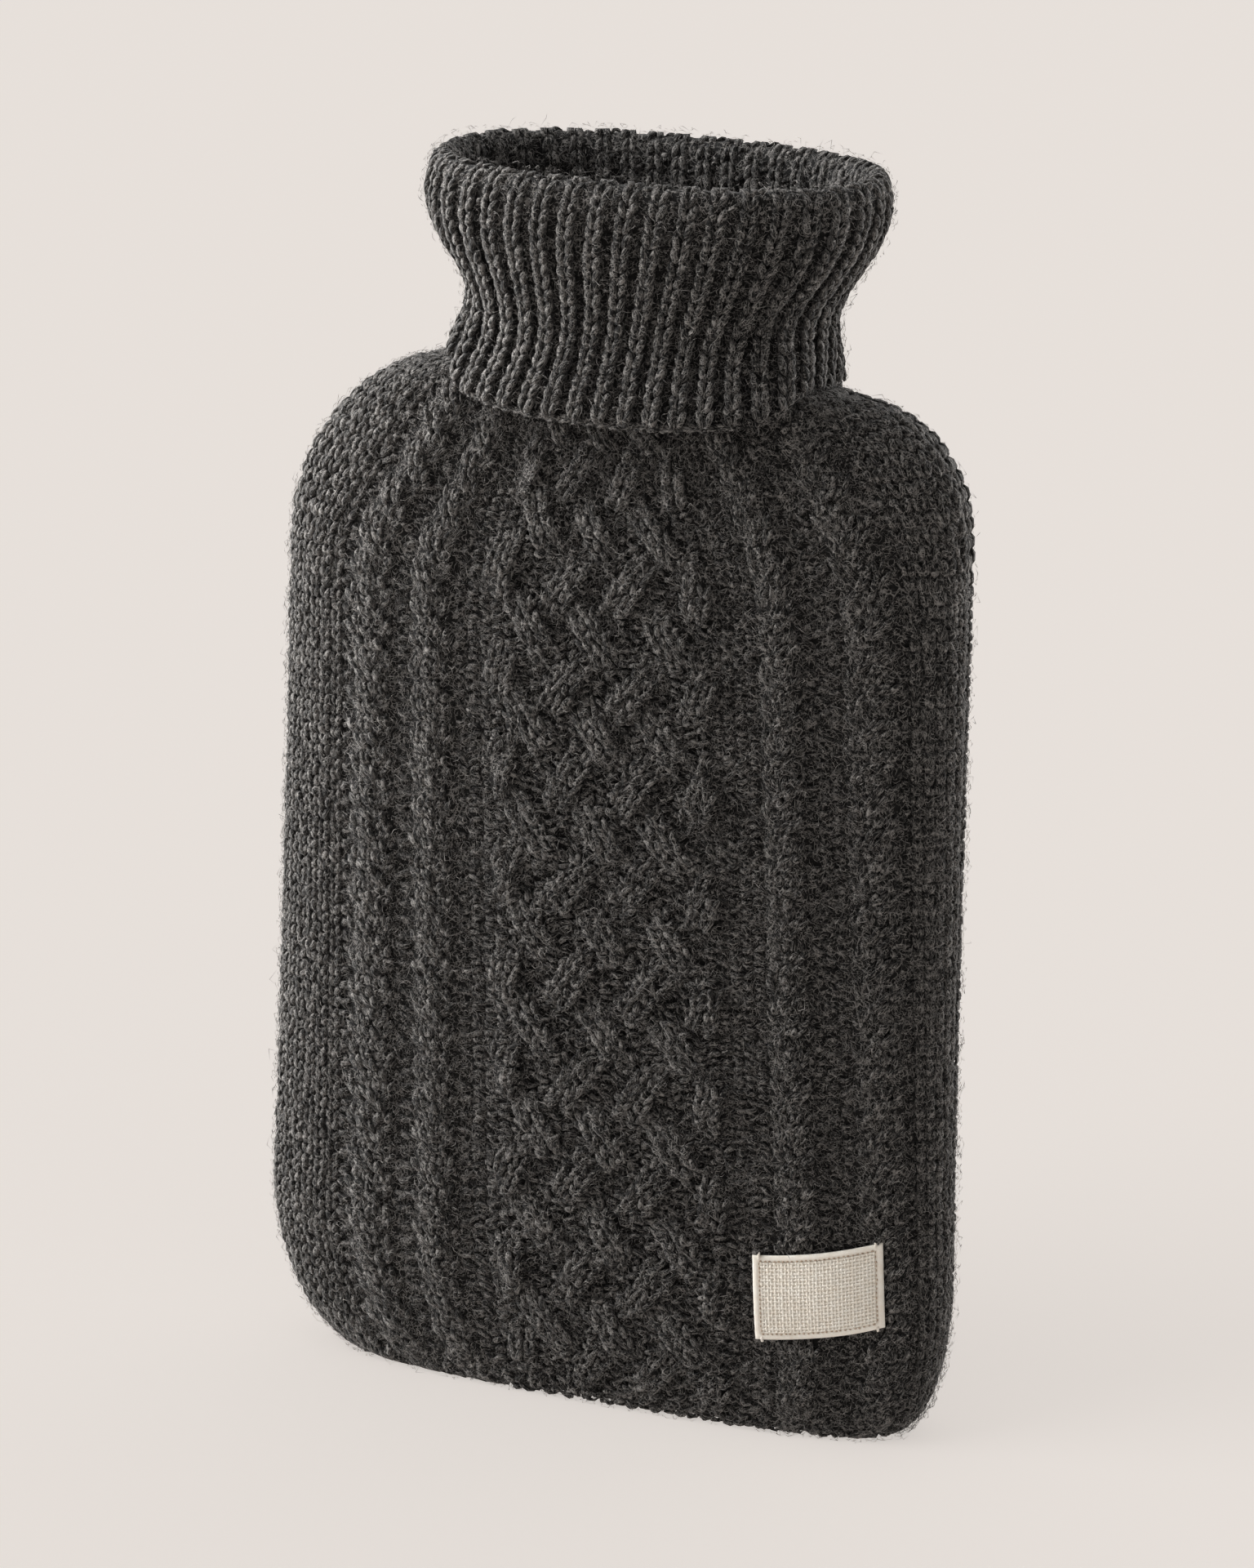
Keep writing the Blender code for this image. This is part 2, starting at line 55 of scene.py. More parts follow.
# ---- The solids' own measures, in metres, before MIDDLE is moved to the origin
MIDDLE = np.array([0.0028, 0.0051, 0.0])
GAP = 0.0003
WALL = 0.0036
SELVEDGE_DIP = 0.0008
NECK_HEIGHT = 0.3011
NECK_HALF = 0.0450
HALF_WIDTH_LOW = 0.1059
HALF_WIDTH_MID = 0.1038
HALF_WIDTH_TOP = 0.1027
HALF_DEPTH = 0.0257
HALF_DEPTH_BASE = 0.0224
HALF_DEPTH_NECK = 0.0235
BASE_EDGE = 0.0030
LOW_HEIGHT = 0.0500
TOP_HEIGHT = 0.2570
SQUARE_BASE = 3.05
SQUARE_BODY = 2.48
SWAY = 0.0026               # how far the body leans to the left over SWAY_HEIGHT
SWAY_HEIGHT = 0.28
SHOULDER_TILT = 0.012       # slope of the shoulders, which starts at TILT_FROM
TILT_FROM = 0.20
TILT_OVER = 0.09
BASE_DEPTH_RISE = 0.045     # the base is thinner up to here
NECK_DEPTH_FROM = 0.225     # and the neck from here
SQUARE_RISE = 0.06          # the base is squarer up to here
SIDES = {
    #         narrower  foot_in  foot_rise  foot_power  shoulder_rise  shoulder_power
    "left":  (0.0014, 0.0325, 0.0550, 1.90, 0.0560, 1.96),
    "right": (-0.0006, 0.0152, 0.0460, 2.10, 0.0440, 2.25),
}
SHOULDER = SIDES["left"][4]
SPRING = NECK_HEIGHT - SHOULDER         # height at which the shoulders start to curve in
BODY_COLUMNS = 227                      # points of the body's table round half the girth
BODY_ROWS = 325                         # and up it

# ---- Knitted layout of the front, from the left seam to the right one
HALF_GIRTH = 0.1130
BANDS = (
    # kind      width
    ("plain", 0.0310),
    ("groove", 0.0036),
    ("rope", 0.0150),
    ("groove", 0.0052),
    ("rope", 0.0135),
    ("purl", 0.0122),
    ("plait", 0.0650),
    ("purl", 0.0138),
    ("rope", 0.0127),
    ("purl", 0.0113),
    ("rope", 0.0167),
    ("groove", 0.0030),
    ("plain", 0.0230),
)
RISE = {"plain": 0.0012, "groove": 0.0003, "purl": 0.0, "rope": 0.0027, "plait": 0.0034}
CABLE_PERIOD = 0.0290
ROPE_PERIOD = 0.0194
SEAM_DIP = 0.0022
CROSSING_HEIGHT = 0.0245
PLAIT_PITCH = 0.0200
STRAND_HALF = 0.0046
SEAT = 0.0010               # the ground lies this far below the solid's face, and the yarn reaches up to it
PLAIT_GROUND = 0.12         # height of the ground between the strands, as a share of theirs
ROPE_WALE = 0.44            # usual width of a rope's column, as a share of half the rope's width
ROPE_SWING = 0.40           # how far a strand swings to each side, as the same share
ROPE_START = 0.6            # turn of the ropes at the base, in radians
STRAND_REACH = 0.61         # half the length of a strand's swell, as a share of the way between crossings
STRAND_OVERLAP = 1.28       # length of a strand's stitches, as the same share
DRIFT_TOP = 0.0028          # the columns lean to the right by this much at DRIFT_HEIGHT, and more below it
DRIFT_SLOPE = 0.051
DRIFT_HEIGHT = 0.2400
DRIFT_END = (0.270, 0.030)  # height at which the lean starts to end, and over which it ends
GATHER_FROM = 0.2350        # from here the columns draw together towards the neck
GATHER_OVER = 0.0500
GATHER = 0.32
RELIEF_FOOT = (0.002, 0.012)            # the relief rises from this height over this one
RELIEF_NECK = (0.286, 0.012)            # and falls again under the collar
SEAM_POWER = 50                         # how narrow the dip along the seams is
FRONT_CUTS = (-0.040, 0.040)            # the front's stitches are made as three pieces, cut here
FUZZ_SPAN = (0.001, 0.298)              # heights between which the panels have loose fibres
FIBRE_SHARES = {"front_half": 0.32, "back": 0.15, "collar": 0.21}
FIBRE_DEPTH = (0.30, 0.85)  # heights of the fibres' roots above the stitches' middle, in yarn thicknesses
FLOOR_CLEARANCE = 0.0001

# ---- Collar: outside and inside of the folded band
COLLAR_OUTSIDE = (
    # height  half_width  half_depth  middle
    (0.2948, 0.0562, 0.0362, 0.0040),
    (0.3130, 0.0536, 0.0317, 0.0034),
    (0.3470, 0.0672, 0.0386, 0.0020),
)
LAYER = 0.0035
COLLAR_INSIDE = (
    (NECK_HEIGHT + GAP, NECK_HALF - LAYER, HALF_DEPTH_NECK - LAYER, -0.0012),
    (0.3130, 0.0458, 0.0239, 0.0034),
    (0.3470, 0.0592, 0.0306, 0.0020),
)
COLLAR_SQUARE = 2.30
RIM_HEIGHT = 0.0100
HEM_DROOP = 0.0077
HEM_CLEARANCE = 0.0005
HEM_EASING = 0.05
HEM_SQUARE = 3.1            # squareness of the hem's right half, where it hangs over the shoulder
HEM_SHIFT = -0.0020         # the hem has slipped to the left
HEM_SINK = 0.0040           # how far it has sunk over the right shoulder
HEM_HEIGHT = 0.0160         # the hem's own shape ends this far above it
SHOULDER_SINK = (0.0022, 0.0025)        # how far the right shoulder sinks, and thins, beside the collar
SINK_FROM = 0.262           # from this height, and fully SINK_OVER above it
SINK_OVER = 0.034
SINK_EDGES = ((0.040, 0.018), (0.066, 0.024))   # where it starts and ends to the right, and over what width
RIBS = 40
RIB_SLANT = 0.0060
COLLAR_LEAN = 0.0090
RIM_TILT = (-0.012, 0.095)
RIB_CREST = 0.0009          # how far the knit columns stand off the rib's middle
RIB_VALLEY = -0.0020        # and the purl columns lie behind it
RIM_LEVEL = 0.0006          # both, where the ribs turn over the rim and are pulled flat
RIM_PLACE = 0.545           # of the way from the hem to the neck, over the rim
RIM_REACH = 0.10            # of that way, over which they even out
COLLAR_SEAT = 0.0009        # the rib's middle lies this far below the solid's face
COLLAR_RING = 240           # points of the collar's table round it
GROUND_RING = 120           # points of its ground cloth round it
GROUND_RINGS = 45           # and from its hem to the neck

# ---- Label
LABEL_WIDTH = 0.0370
LABEL_HEIGHT = 0.0250
LABEL_PLACE = (0.0748, 0.0447)
LABEL_SLOPE = 0.20
LABEL_LEAN = 0.07
LABEL_SEAT = 0.0015
LABEL_SAG = 0.0012          # its middle hangs this far below its ends
LABEL_LIFT = 0.0010
STITCH_ROOM = 0.0012        # under the label, stitches are pressed this far below its seat
HIDDEN_MARGIN = -0.0030     # those this far inside its edges are left out
PRESS_MARGIN = 0.0012       # those this close to it are pressed flat
ROOT_MARGIN = 0.0005        # fibres this close to it have their roots under it
GROUND_MARGIN = 0.0025      # the ground this close to it is level
LABEL_BAND = 0.0022         # width of the folded edges at the left and right
LABEL_FOLD = 0.0019         # and at the top and bottom
WEAVE_LEVEL = 0.00195       # height of the weave's middle above the smooth front
THREAD_RADIUS = 0.00041     # of a woven thread, which is pressed flat
SEWING_RADIUS = 0.00020
KNOT_RADIUS = 0.00036
DASH = (0.0008, 0.0013)     # length of a sewn stitch, and from one to the next

# ---- Camera, from the photograph's perspective
VIEW_AZIMUTH = 22.07        # degrees to the right of straight on
VIEW_ELEVATION = 13.20
VIEW_ROLL = 2.11
VIEW_DISTANCE = 1.42
VIEW_AIM = Vector((0.0, 0.0, 0.18))
FOCAL_PIXELS = 6084
FRAME_HEIGHT = 1920
AIM_OFFSET = (-10.7, -3.8)  # pixels by which the aim point lies off the frame's middle
SENSOR = 36.0
NEAR_CLIP = 0.05

# ---- Light, balanced against the photograph's tones
SUN_PLACE = (-0.55, -0.50, 0.70)
SUN_STRENGTH = 0.30
SUN_WIDTH = 40              # degrees: so wide that the table has hardly any shadow
SOFT_BOXES = (
    # name        place                 size  power
    ("side_box", (-0.98, -0.04, 0.48), 1.00, 46.0),
    ("front_box", (0.45, -1.15, 0.95), 0.80, 1.0),
    ("back_box", (0.70, 0.80, 0.55), 0.60, 12.0),
)
BOX_AIM = (0, 0, 0.17)
AIR_COLOUR = "#f4f1ee"
AIR_STRENGTH = 0.285
TABLE_COLOUR = "#e3ddd8"
TABLE_GLOW = 0.715
TABLE_REACH = 12.0


def linear(hex_colour):
    """An sRGB hex colour, such as "#45433f", as linear red, green, blue and 1."""
    parts = [int(hex_colour[i:i + 2], 16) / 255 for i in (1, 3, 5)]
    return tuple(c / 12.92 if c <= 0.04045 else ((c + 0.055) / 1.055) ** 2.4 for c in parts) + (1.0,)


# ---------------------------------------------------------------- settings

def length_setting(name, description, default, low, high):
    """A setting in metres."""
    return FloatProperty(name=name, description=description, default=default, min=low, max=high,
                         unit="LENGTH")


def wool_setting(name, description, hex_colour):
    """A setting for one of the yarn's colours."""
    return FloatVectorProperty(name=name, description=description, default=linear(hex_colour)[:3], size=3,
                               subtype="COLOR", min=0, max=1)


class CoverSettings(bpy.types.PropertyGroup):
    wale: length_setting("Stitch width", "Width of one stitch of the body", 0.0039, 0.002, 0.006)
    course: length_setting("Stitch height", "Height of one row of the body", 0.0031, 0.002, 0.006)
    yarn: length_setting("Yarn thickness", "Diameter of the yarn in a stitch of the body",
                         0.0022, 0.0008, 0.004)
    purl_course: length_setting("Purl row height", "Between the bumps of purl stitches",
                                0.0023, 0.001, 0.006)
    rib_course: length_setting("Rib row height", "Height of one row of the ribbed collar",
                               0.0039, 0.002, 0.008)
    rib_yarn: length_setting("Rib yarn thickness", "Diameter of the yarn in the collar",
                             0.0024, 0.0008, 0.004)
    fibres: IntProperty(name="Loose fibres", description="Number of loose fibres that stand off the knitting",
                        default=63000, min=0, max=90000)
    fibre_length: length_setting("Fibre length", "Usual length of a loose fibre", 0.0027, 0.0005, 0.01)
    thread_pitch: length_setting("Linen thread spacing", "Between threads of the label's weave",
                                 0.00100, 0.0004, 0.003)


class CoverColours(bpy.types.PropertyGroup):
    wool_dark: wool_setting("Dark wool", "Darkest fibres of the marled yarn", "#070606")
    wool_mid: wool_setting("Grey wool", "Usual colour of the marled yarn", "#151413")
    wool_light: wool_setting("Light wool", "Lightest fibres of the marled yarn", "#6c6966")


# ---------------------------------------------------------------- small sums

def ease(t):
    """0 to 1 with level ends."""
    t = np.clip(t, 0.0, 1.0)
    return t * t * (3 - 2 * t)


def unit(vectors):
    """Vectors of length 1, along the last axis."""
    return vectors / np.maximum(np.linalg.norm(vectors, axis=-1, keepdims=True), 1e-12)


# ---------------------------------------------------------------- smooth shape of the body

def corner(t, power):
    """0 to 1 along a rounded corner."""
    t = np.clip(t, 0.0, 1.0)
    return 1 - (1 - t**power) ** (1 / power)


def half_width(side, z, inset=0.0):
    """Half width of the body at height z on one side."""
    narrower, foot_in, foot_rise, foot_power, shoulder_rise, shoulder_power = SIDES[side]
    k = np.clip((z - LOW_HEIGHT) / (TOP_HEIGHT - LOW_HEIGHT), 0, 1)
    width = HALF_WIDTH_LOW + (HALF_WIDTH_TOP - HALF_WIDTH_LOW) * k
    width = width + (HALF_WIDTH_MID - (HALF_WIDTH_LOW + HALF_WIDTH_TOP) / 2) * 4 * k * (1 - k)
    width = width - narrower - inset
    width = width - foot_in * corner(1 - (z - inset) / (foot_rise - inset), foot_power)
    neck = HALF_WIDTH_TOP - narrower - inset - NECK_HALF
    return width - neck * corner(1 - (NECK_HEIGHT - inset - z) / (shoulder_rise - inset), shoulder_power)


def half_depth(z, inset=0.0):
    """Half depth of the body at height z."""
    depth = HALF_DEPTH_BASE + (HALF_DEPTH - HALF_DEPTH_BASE) * ease(z / BASE_DEPTH_RISE)
    neck = ease((z - NECK_DEPTH_FROM) / (NECK_HEIGHT - NECK_DEPTH_FROM))
    depth = depth + (HALF_DEPTH_NECK - HALF_DEPTH) * neck
    return depth - inset - BASE_EDGE * corner(1 - (z - inset) / BASE_EDGE, 2)


def squarish(turn, square):
    """Across and up on a squarish circle of radius 1."""
    c = np.cos(turn)
    s = np.sin(turn)
    return np.sign(c) * np.abs(c) ** (2 / square), np.sign(s) * np.abs(s) ** (2 / square)


def run_along(x, y):
    """Distance along a line from its first point."""
    return np.concatenate(([0], np.cumsum(np.hypot(np.diff(x), np.diff(y)))))


def run_from_middle(x, y):
    """Distance round a cross-section from x = 0, negative to the left."""
    run = run_along(x, y)
    return run - np.interp(0, x, run)


def section(z, inset=0.0, points=481):
    """The front half of the cross-section at height z: x and depth, from the left seam to the right."""
    square = SQUARE_BASE + (SQUARE_BODY - SQUARE_BASE) * min(z / SQUARE_RISE, 1)
    from_right, deep = squarish(np.linspace(0, math.pi, points), square)
    across = -from_right
    width = np.where(across < 0, half_width("left", z, inset), half_width("right", z, inset))
    return across * width, deep * half_depth(z, inset)


def wale_places(columns, z, run):
    """Where columns of stitches, given at half the girth, cross the section: distances round it."""
    u = columns / HALF_GIRTH
    gather = GATHER * ease((z - GATHER_FROM) / GATHER_OVER)
    drift = DRIFT_TOP + DRIFT_SLOPE * max(DRIFT_HEIGHT - z, 0)
    lean = drift * (1 - u**4) * (1 + 0.45 * u)
    reach = np.where(u < 0, -run[0], run[-1])
    start, over = DRIFT_END
    return u * (1 - gather * (1 - u * u)) * reach + lean * (1 - ease((z - start) / over))


def body_point(px, depth, z):
    """Points of the front from x, depth and height on the section, with the body's sway and tilt."""
    tilt = SHOULDER_TILT * px * ease((z - TILT_FROM) / TILT_OVER)
    sink, thin = (s * beside_collar(px) * ease((z - SINK_FROM) / SINK_OVER) for s in SHOULDER_SINK)
    z = np.full_like(px, z)
    depth = depth - thin * ease(depth / 0.012)
    x = px + SWAY * (0.5 - z / SWAY_HEIGHT)
    return np.stack([x, -depth - GAP / 2, z + tilt - sink], axis=-1) - MIDDLE


def beside_collar(x):
    """From 0 under the collar to 1 on the right shoulder where the hem lies, and back to 0 farther out."""
    (start, start_over), (end, end_over) = SINK_EDGES
    return ease((x - start) / start_over) * (1 - ease((x - end) / end_over))


class Surface:
    """Smooth cloth: points in a table over u, round the piece, and q, up the piece, read between them."""

    def __init__(self, points, places, u_first, u_last, q_first, q_last, wraps=False, rise=None):
        self.points = points
        self.places = places
        self.u = (u_first, (points.shape[1] - (0 if wraps else 1)) / (u_last - u_first))
        self.q = (q_first, (points.shape[0] - 1) / (q_last - q_first))
        self.wraps = wraps
        self.rise = rise
        grown = np.concatenate([points[:, -1:], points, points[:, :1]], axis=1) if wraps else points
        across = np.gradient(grown, axis=1)
        if wraps:
            across = across[:, 1:-1]
        self.across = unit(across)
        self.normals = unit(np.cross(self.across, unit(np.gradient(points, axis=0))))

    def length(self):
        """Distance from the table's first row to its last."""
        return (self.points.shape[0] - 1) / self.q[1]

    def read(self, table, u, v):
        """Values of a table at u and v."""
        q = self.rise(u, v) if self.rise else v
        a = (u - self.u[0]) * self.u[1]
        b = np.clip((q - self.q[0]) * self.q[1], 0, table.shape[0] - 1.001)
        count = table.shape[1]
        a = a % count if self.wraps else np.clip(a, 0, count - 1.001)
        i = np.floor(a).astype(int)
        j = np.floor(b).astype(int)
        fa = a - i
        fb = b - j
        if table.ndim == 3:
            fa = fa[..., None]
            fb = fb[..., None]
        i = i % count
        k = (i + 1) % count
        low = table[j, i] * (1 - fa) + table[j, k] * fa
        high = table[j + 1, i] * (1 - fa) + table[j + 1, k] * fa
        return low * (1 - fb) + high * fb

    def at(self, u, v, lift):
        """Points at a height above the cloth, and the cloth's normals there."""
        u, v, lift = np.broadcast_arrays(u, v, lift)
        normals = unit(self.read(self.normals, u, v))
        return self.read(self.points, u, v) + normals * lift[..., None], normals


def shoulder_rise(u, v):
    """Rows of the shoulders: level in the middle, and opened out round the corners at the sides."""
    t = np.clip((v - SPRING) / SHOULDER, 0, 1)
    side = np.abs(u / HALF_GIRTH) ** 1.5
    climb = (1 - side) * t + side * np.sin(t * math.pi / 2)
    over = SPRING + SHOULDER * np.arcsin(np.clip(climb, 0, 1)) / (math.pi / 2)
    return np.where(v > SPRING, over, v)


def body_surface(facing, inset=0.0):
    """The smooth front (facing = 1) or back (facing = -1) of the body, inset below its outer face."""
    columns = np.linspace(-HALF_GIRTH, HALF_GIRTH, BODY_COLUMNS)
    q_rows = np.linspace(-HALF_DEPTH_BASE, NECK_HEIGHT, BODY_ROWS)
    points = []
    places = []
    for q in q_rows:
        share = min(1 + q / HALF_DEPTH_BASE, 1.0)
        theta = np.clip((q - SPRING) / SHOULDER, 0, 1) * math.pi / 2
        top = NECK_HEIGHT - inset
        z = max(q, inset) if q < SPRING else SPRING + (top - SPRING) * math.sin(theta)
        x, y = section(z, inset)
        run = run_from_middle(x, y)
        place = wale_places(columns, z, run)
        px = np.interp(place, run, x) * (0.94 + 0.06 * share)
        depth = np.interp(place, run, y) * max(share, 0.0)
        depth[0] = depth[-1] = 0.0
        depth = np.where(depth > 0, depth, -GAP / 2)    # the two panels meet here, sewn shut
        points.append(body_point(px, depth, z))
        places.append(place)
    table = np.array(points)
    if facing < 0:
        middle = -MIDDLE[1]
        table[:, :, 1] = 2 * middle - table[:, :, 1]
    surface = Surface(table, np.array(places), -HALF_GIRTH, HALF_GIRTH, q_rows[0], q_rows[-1],
                      rise=shoulder_rise)
    if facing < 0:
        surface.normals = -surface.normals
    for end in (0, -1):
        surface.normals[:, end, 1] = 0
    surface.normals = unit(surface.normals)
    return surface


# ---------------------------------------------------------------- relief of the knitting

def band_edges():
    """The bands across the front as (kind, from, to)."""
    bands = []
    start = -HALF_GIRTH
    for kind, width in BANDS:
        bands.append((kind, start, start + width))
        start += width
    return bands


PLAIT_EDGES = next((start, end) for kind, start, end in band_edges() if kind == "plait")


def crossing_rows():
    """Crossings of the plait: (place across, height, side, size), their over-strand leaning to that side."""
    rng = np.random.default_rng(5)
    half = CABLE_PERIOD / 2
    crossings = []
    for row in range(-1, 20):
        even = row % 2 == 0
        for place in ((-1, 0, 1) if even else (-1.5, -0.5, 0.5, 1.5)):
            side = 0.3 if abs(place) > 1 else (-1 if even else 1)
            shake = rng.normal(0, 1, 4)
            height = CROSSING_HEIGHT + row * half
            crossings.append((place * PLAIT_PITCH + 0.0006 * shake[0], height + 0.0008 * shake[1],
                              side + 0.10 * shake[2], 1 - 0.14 * abs(shake[3])))
    return crossings


def strand_relief(c, v, place, height, side):
    """Height from 0 to 1 of one over-strand of the plait."""
    run_c = side * PLAIT_PITCH / 2
    run_v = CABLE_PERIOD / 2
    length = math.hypot(run_c, run_v)
    along = ((c - place) * run_c + (v - height) * run_v) / length
    across = ((c - place) * run_v - (v - height) * run_c) / length
    ridge = np.clip(1 - (across / (1.08 * STRAND_HALF)) ** 2, 0, 1)
    taper = np.clip(1 - (np.abs(along) / (STRAND_REACH * length)) ** 2, 0, 1)
    return np.where((ridge > 0) & (taper > 0), np.sqrt(ridge) * (0.25 + 0.75 * taper), 0)


def rope_twist(c, t, v):
    """Swells of a rope's strands. They lean left on the left half and right on the right one."""
    return 0.72 + 0.28 * np.cos(4 * math.pi * v / ROPE_PERIOD + 2.2 * t * np.where(c > 0, -1, 1))


def relief(c, v):
    """How far the knitting's middle stands off the smooth front, in metres."""
    height = np.zeros(np.broadcast(c, v).shape)
    for kind, start, end in band_edges():
        t = (2 * c - start - end) / (end - start)
        inside = np.abs(t) <= 1
        rise = RISE[kind]
        if kind == "rope":
            band = rise * np.sqrt(np.clip(1 - t * t, 0, 1)) * rope_twist(c, t, v)
        elif kind == "plait":
            band = PLAIT_GROUND * rise
            for place, high, side, size in crossing_rows():
                band = np.maximum(band, rise * size * strand_relief(c, v, place, high, side))
        elif kind == "plain":
            band = rise * (1 - np.clip(t, -1, 1) ** 4)
        else:
            band = rise
        height = np.where(inside, band, height)
    return (height - seam_dip(c)) * relief_fade(v) - SEAT


def relief_fade(v):
    """1 on the body, and down to 0 at its foot and its neck."""
    foot, neck = (ease((v - start) / over) for start, over in (RELIEF_FOOT, RELIEF_NECK))
    return foot * (1 - neck)


def seam_dip(c):
    """How far the knitting is pulled in along the seams."""
    return SEAM_DIP * np.abs(c / HALF_GIRTH) ** SEAM_POWER


def plain_relief(c, v):
    """How far plain knitting's middle stands off the smooth cloth."""
    return -seam_dip(c) * relief_fade(v) - SEAT


# ---------------------------------------------------------------- yarn as mesh

def spin(paths, normals, radius, profile, sides, squash=0.85):
    """Closed lengths of yarn along paths, thin at both ends. Gives vertices, triangles and loop UVs."""
    count, points = paths.shape[:2]
    rings = points - 2
    along = unit(np.gradient(paths, axis=1))
    across = unit(np.cross(along, normals))
    up = np.cross(across, along)
    turn = 2 * math.pi * (np.arange(sides) + 0.5) / sides
    ring = np.cos(turn)[:, None] * across[:, 1:-1, None]
    ring = ring + squash * np.sin(turn)[:, None] * up[:, 1:-1, None]
    size = (radius[:, None] * profile[None, 1:-1])[:, :, None, None]
    middle = (paths[:, 1:-1, None] + size * ring).reshape(count, rings * sides, 3)
    vertices = np.concatenate([paths[:, :1], middle, paths[:, -1:]], axis=1)
    faces = []
    uvs = []
    last = 1 + rings * sides
    for s in range(sides):
        n = (s + 1) % sides
        left = s / sides
        right = (s + 1) / sides
        faces.append((0, 1 + n, 1 + s))
        uvs.append(((left, 0), (right, 1 / (points - 1)), (left, 1 / (points - 1))))
        for r in range(rings - 1):
            a = 1 + r * sides
            low = (r + 1) / (points - 1)
            high = (r + 2) / (points - 1)
            faces.append((a + s, a + n, a + sides + n))
            uvs.append(((left, low), (right, low), (right, high)))
            faces.append((a + s, a + sides + n, a + sides + s))
            uvs.append(((left, low), (right, high), (left, high)))
        a = 1 + (rings - 1) * sides
        faces.append((a + s, a + n, last))
        uvs.append(((left, rings / (points - 1)), (right, rings / (points - 1)), (left, 1)))
    per = vertices.shape[1]
    faces = np.array(faces)[None] + (np.arange(count) * per)[:, None, None]
    length = np.linalg.norm(np.diff(paths, axis=1), axis=2).sum(axis=1)
    uvs = np.array(uvs, float).reshape(1, -1, 2) * np.ones((count, 1, 1))
    uvs[:, :, 0] *= (2 * math.pi * radius)[:, None]
    uvs[:, :, 1] *= length[:, None]
    return vertices, faces.reshape(-1, 3), uvs


def lay_yarn(surface, u, v, lift, radius, profile, sides=4, squash=0.85):
    """Spin yarn along lines that lie over a cloth at u and v."""
    paths, normals = surface.at(u, v, lift)
    return spin(paths, normals, radius, profile, sides, squash)


def build_mesh(name, batches, rng):
    """One mesh from batches of spun yarn. Each length gets its own shade and its own place in the marl."""
    vertices = []
    faces = []
    uvs = []
    shade = []
    start = 0
    for verts, tris, uv in batches:
        count, per = verts.shape[:2]
        vertices.append(verts.reshape(-1, 3))
        faces.append(tris + start)
        start += count * per
        offset = rng.uniform(-3, 3, (count, 1, 2))
        uvs.append((uv + offset).reshape(-1, 2))
        shade.append(np.repeat(rng.normal(0, 1, count), per))
    mesh = new_mesh(name, np.concatenate(vertices), np.concatenate(faces))
    layer = mesh.uv_layers.new(name="yarn")
    layer.data.foreach_set("uv", np.concatenate(uvs).ravel())
    marl = mesh.attributes.new("marl", "FLOAT", "POINT")
    marl.data.foreach_set("value", np.concatenate(shade))
    return add_piece(name, mesh)


def new_mesh(name, vertices, faces):
    mesh = bpy.data.meshes.new(name)
    mesh.vertices.add(len(vertices))
    mesh.vertices.foreach_set("co", vertices.ravel())
    mesh.loops.add(faces.size)
    mesh.loops.foreach_set("vertex_index", faces.ravel().astype(np.int32))
    mesh.polygons.add(len(faces))
    sides = faces.shape[1]
    mesh.polygons.foreach_set("loop_start", (np.arange(len(faces)) * sides).astype(np.int32))
    mesh.update(calc_edges=True)
    if len(faces) == 0 or mesh.validate():
        raise RuntimeError(f"{name}: its faces are missing or faulty")
    mesh.shade_smooth()
    return mesh


def add_piece(name, mesh):
    piece = bpy.data.objects.new(name, mesh)
    bpy.context.scene.collection.objects.link(piece)
    return piece


def cover_collection():
    """The collection of all the cover's own pieces."""
    found = bpy.data.collections.get("cover")
    if found is None:
        found = bpy.data.collections.new("cover")
        bpy.context.scene.collection.children.link(found)
    return found


def closed_sheet(name, outer, inner, wraps):
    """A sheet of cloth with both its faces and its edges, from two tables of points."""
    rows, columns = outer.shape[:2]
    count = rows * columns
    index = np.arange(count).reshape(rows, columns)
    if wraps:
        index = np.concatenate([index, index[:, :1]], axis=1)
    low, high = index[:-1], index[1:]
    quads = np.stack([low[:, :-1], low[:, 1:], high[:, 1:], high[:, :-1]], axis=-1).reshape(-1, 4)
    faces = [quads, quads[:, ::-1] + count]
    rims = [index[0], index[-1][::-1]]
    if not wraps:
        rims += [index[:, -1], index[::-1, 0]]
    for rim in rims:
        faces.append(np.stack([rim[1:], rim[:-1], rim[:-1] + count, rim[1:] + count], axis=-1))
    points = np.concatenate([outer.reshape(-1, 3), inner.reshape(-1, 3)])
    return add_piece(name, new_mesh(name, points, np.concatenate(faces)))


# ---------------------------------------------------------------- stitches

LEG_PROFILE = np.array([0, 0.90, 1.0, 0.86, 0])
SHORT_PROFILE = np.array([0, 1.0, 0.92, 0])
RIB_PROFILE = np.array([0, 0.84, 1.0, 0.98, 0.72, 0])
CHAIN_PROFILE = np.array([0, 0.85, 1.0, 1.0, 0.8, 0])


def stitch_columns(stitches):
    """c, v, lean, width, course, low and high of some stitches, ready to meet points along them."""
    return stitches.T[:, :, None]


def steps_along(profile):
    """Places from 0 to 1 along a stitch, one for each part of its profile."""
    return np.linspace(0, 1, len(profile))[None]


def arch(t):
    """The bow of a stitch over its neighbours, from end to end."""
    return np.sin(math.pi * np.clip(t, 0.02, 0.98))


def by_turns(stitches):
    """1 and -1 by turns: neighbouring bumps bend up and down."""
    return np.where(np.arange(len(stitches))[:, None] % 2 == 0, 1.0, -1.0)


def squeezed(width, yarn):
    """Share of its thickness that the yarn keeps where columns draw together."""
    return np.minimum(width[:, 0] / (1.62 * yarn), 1.0)


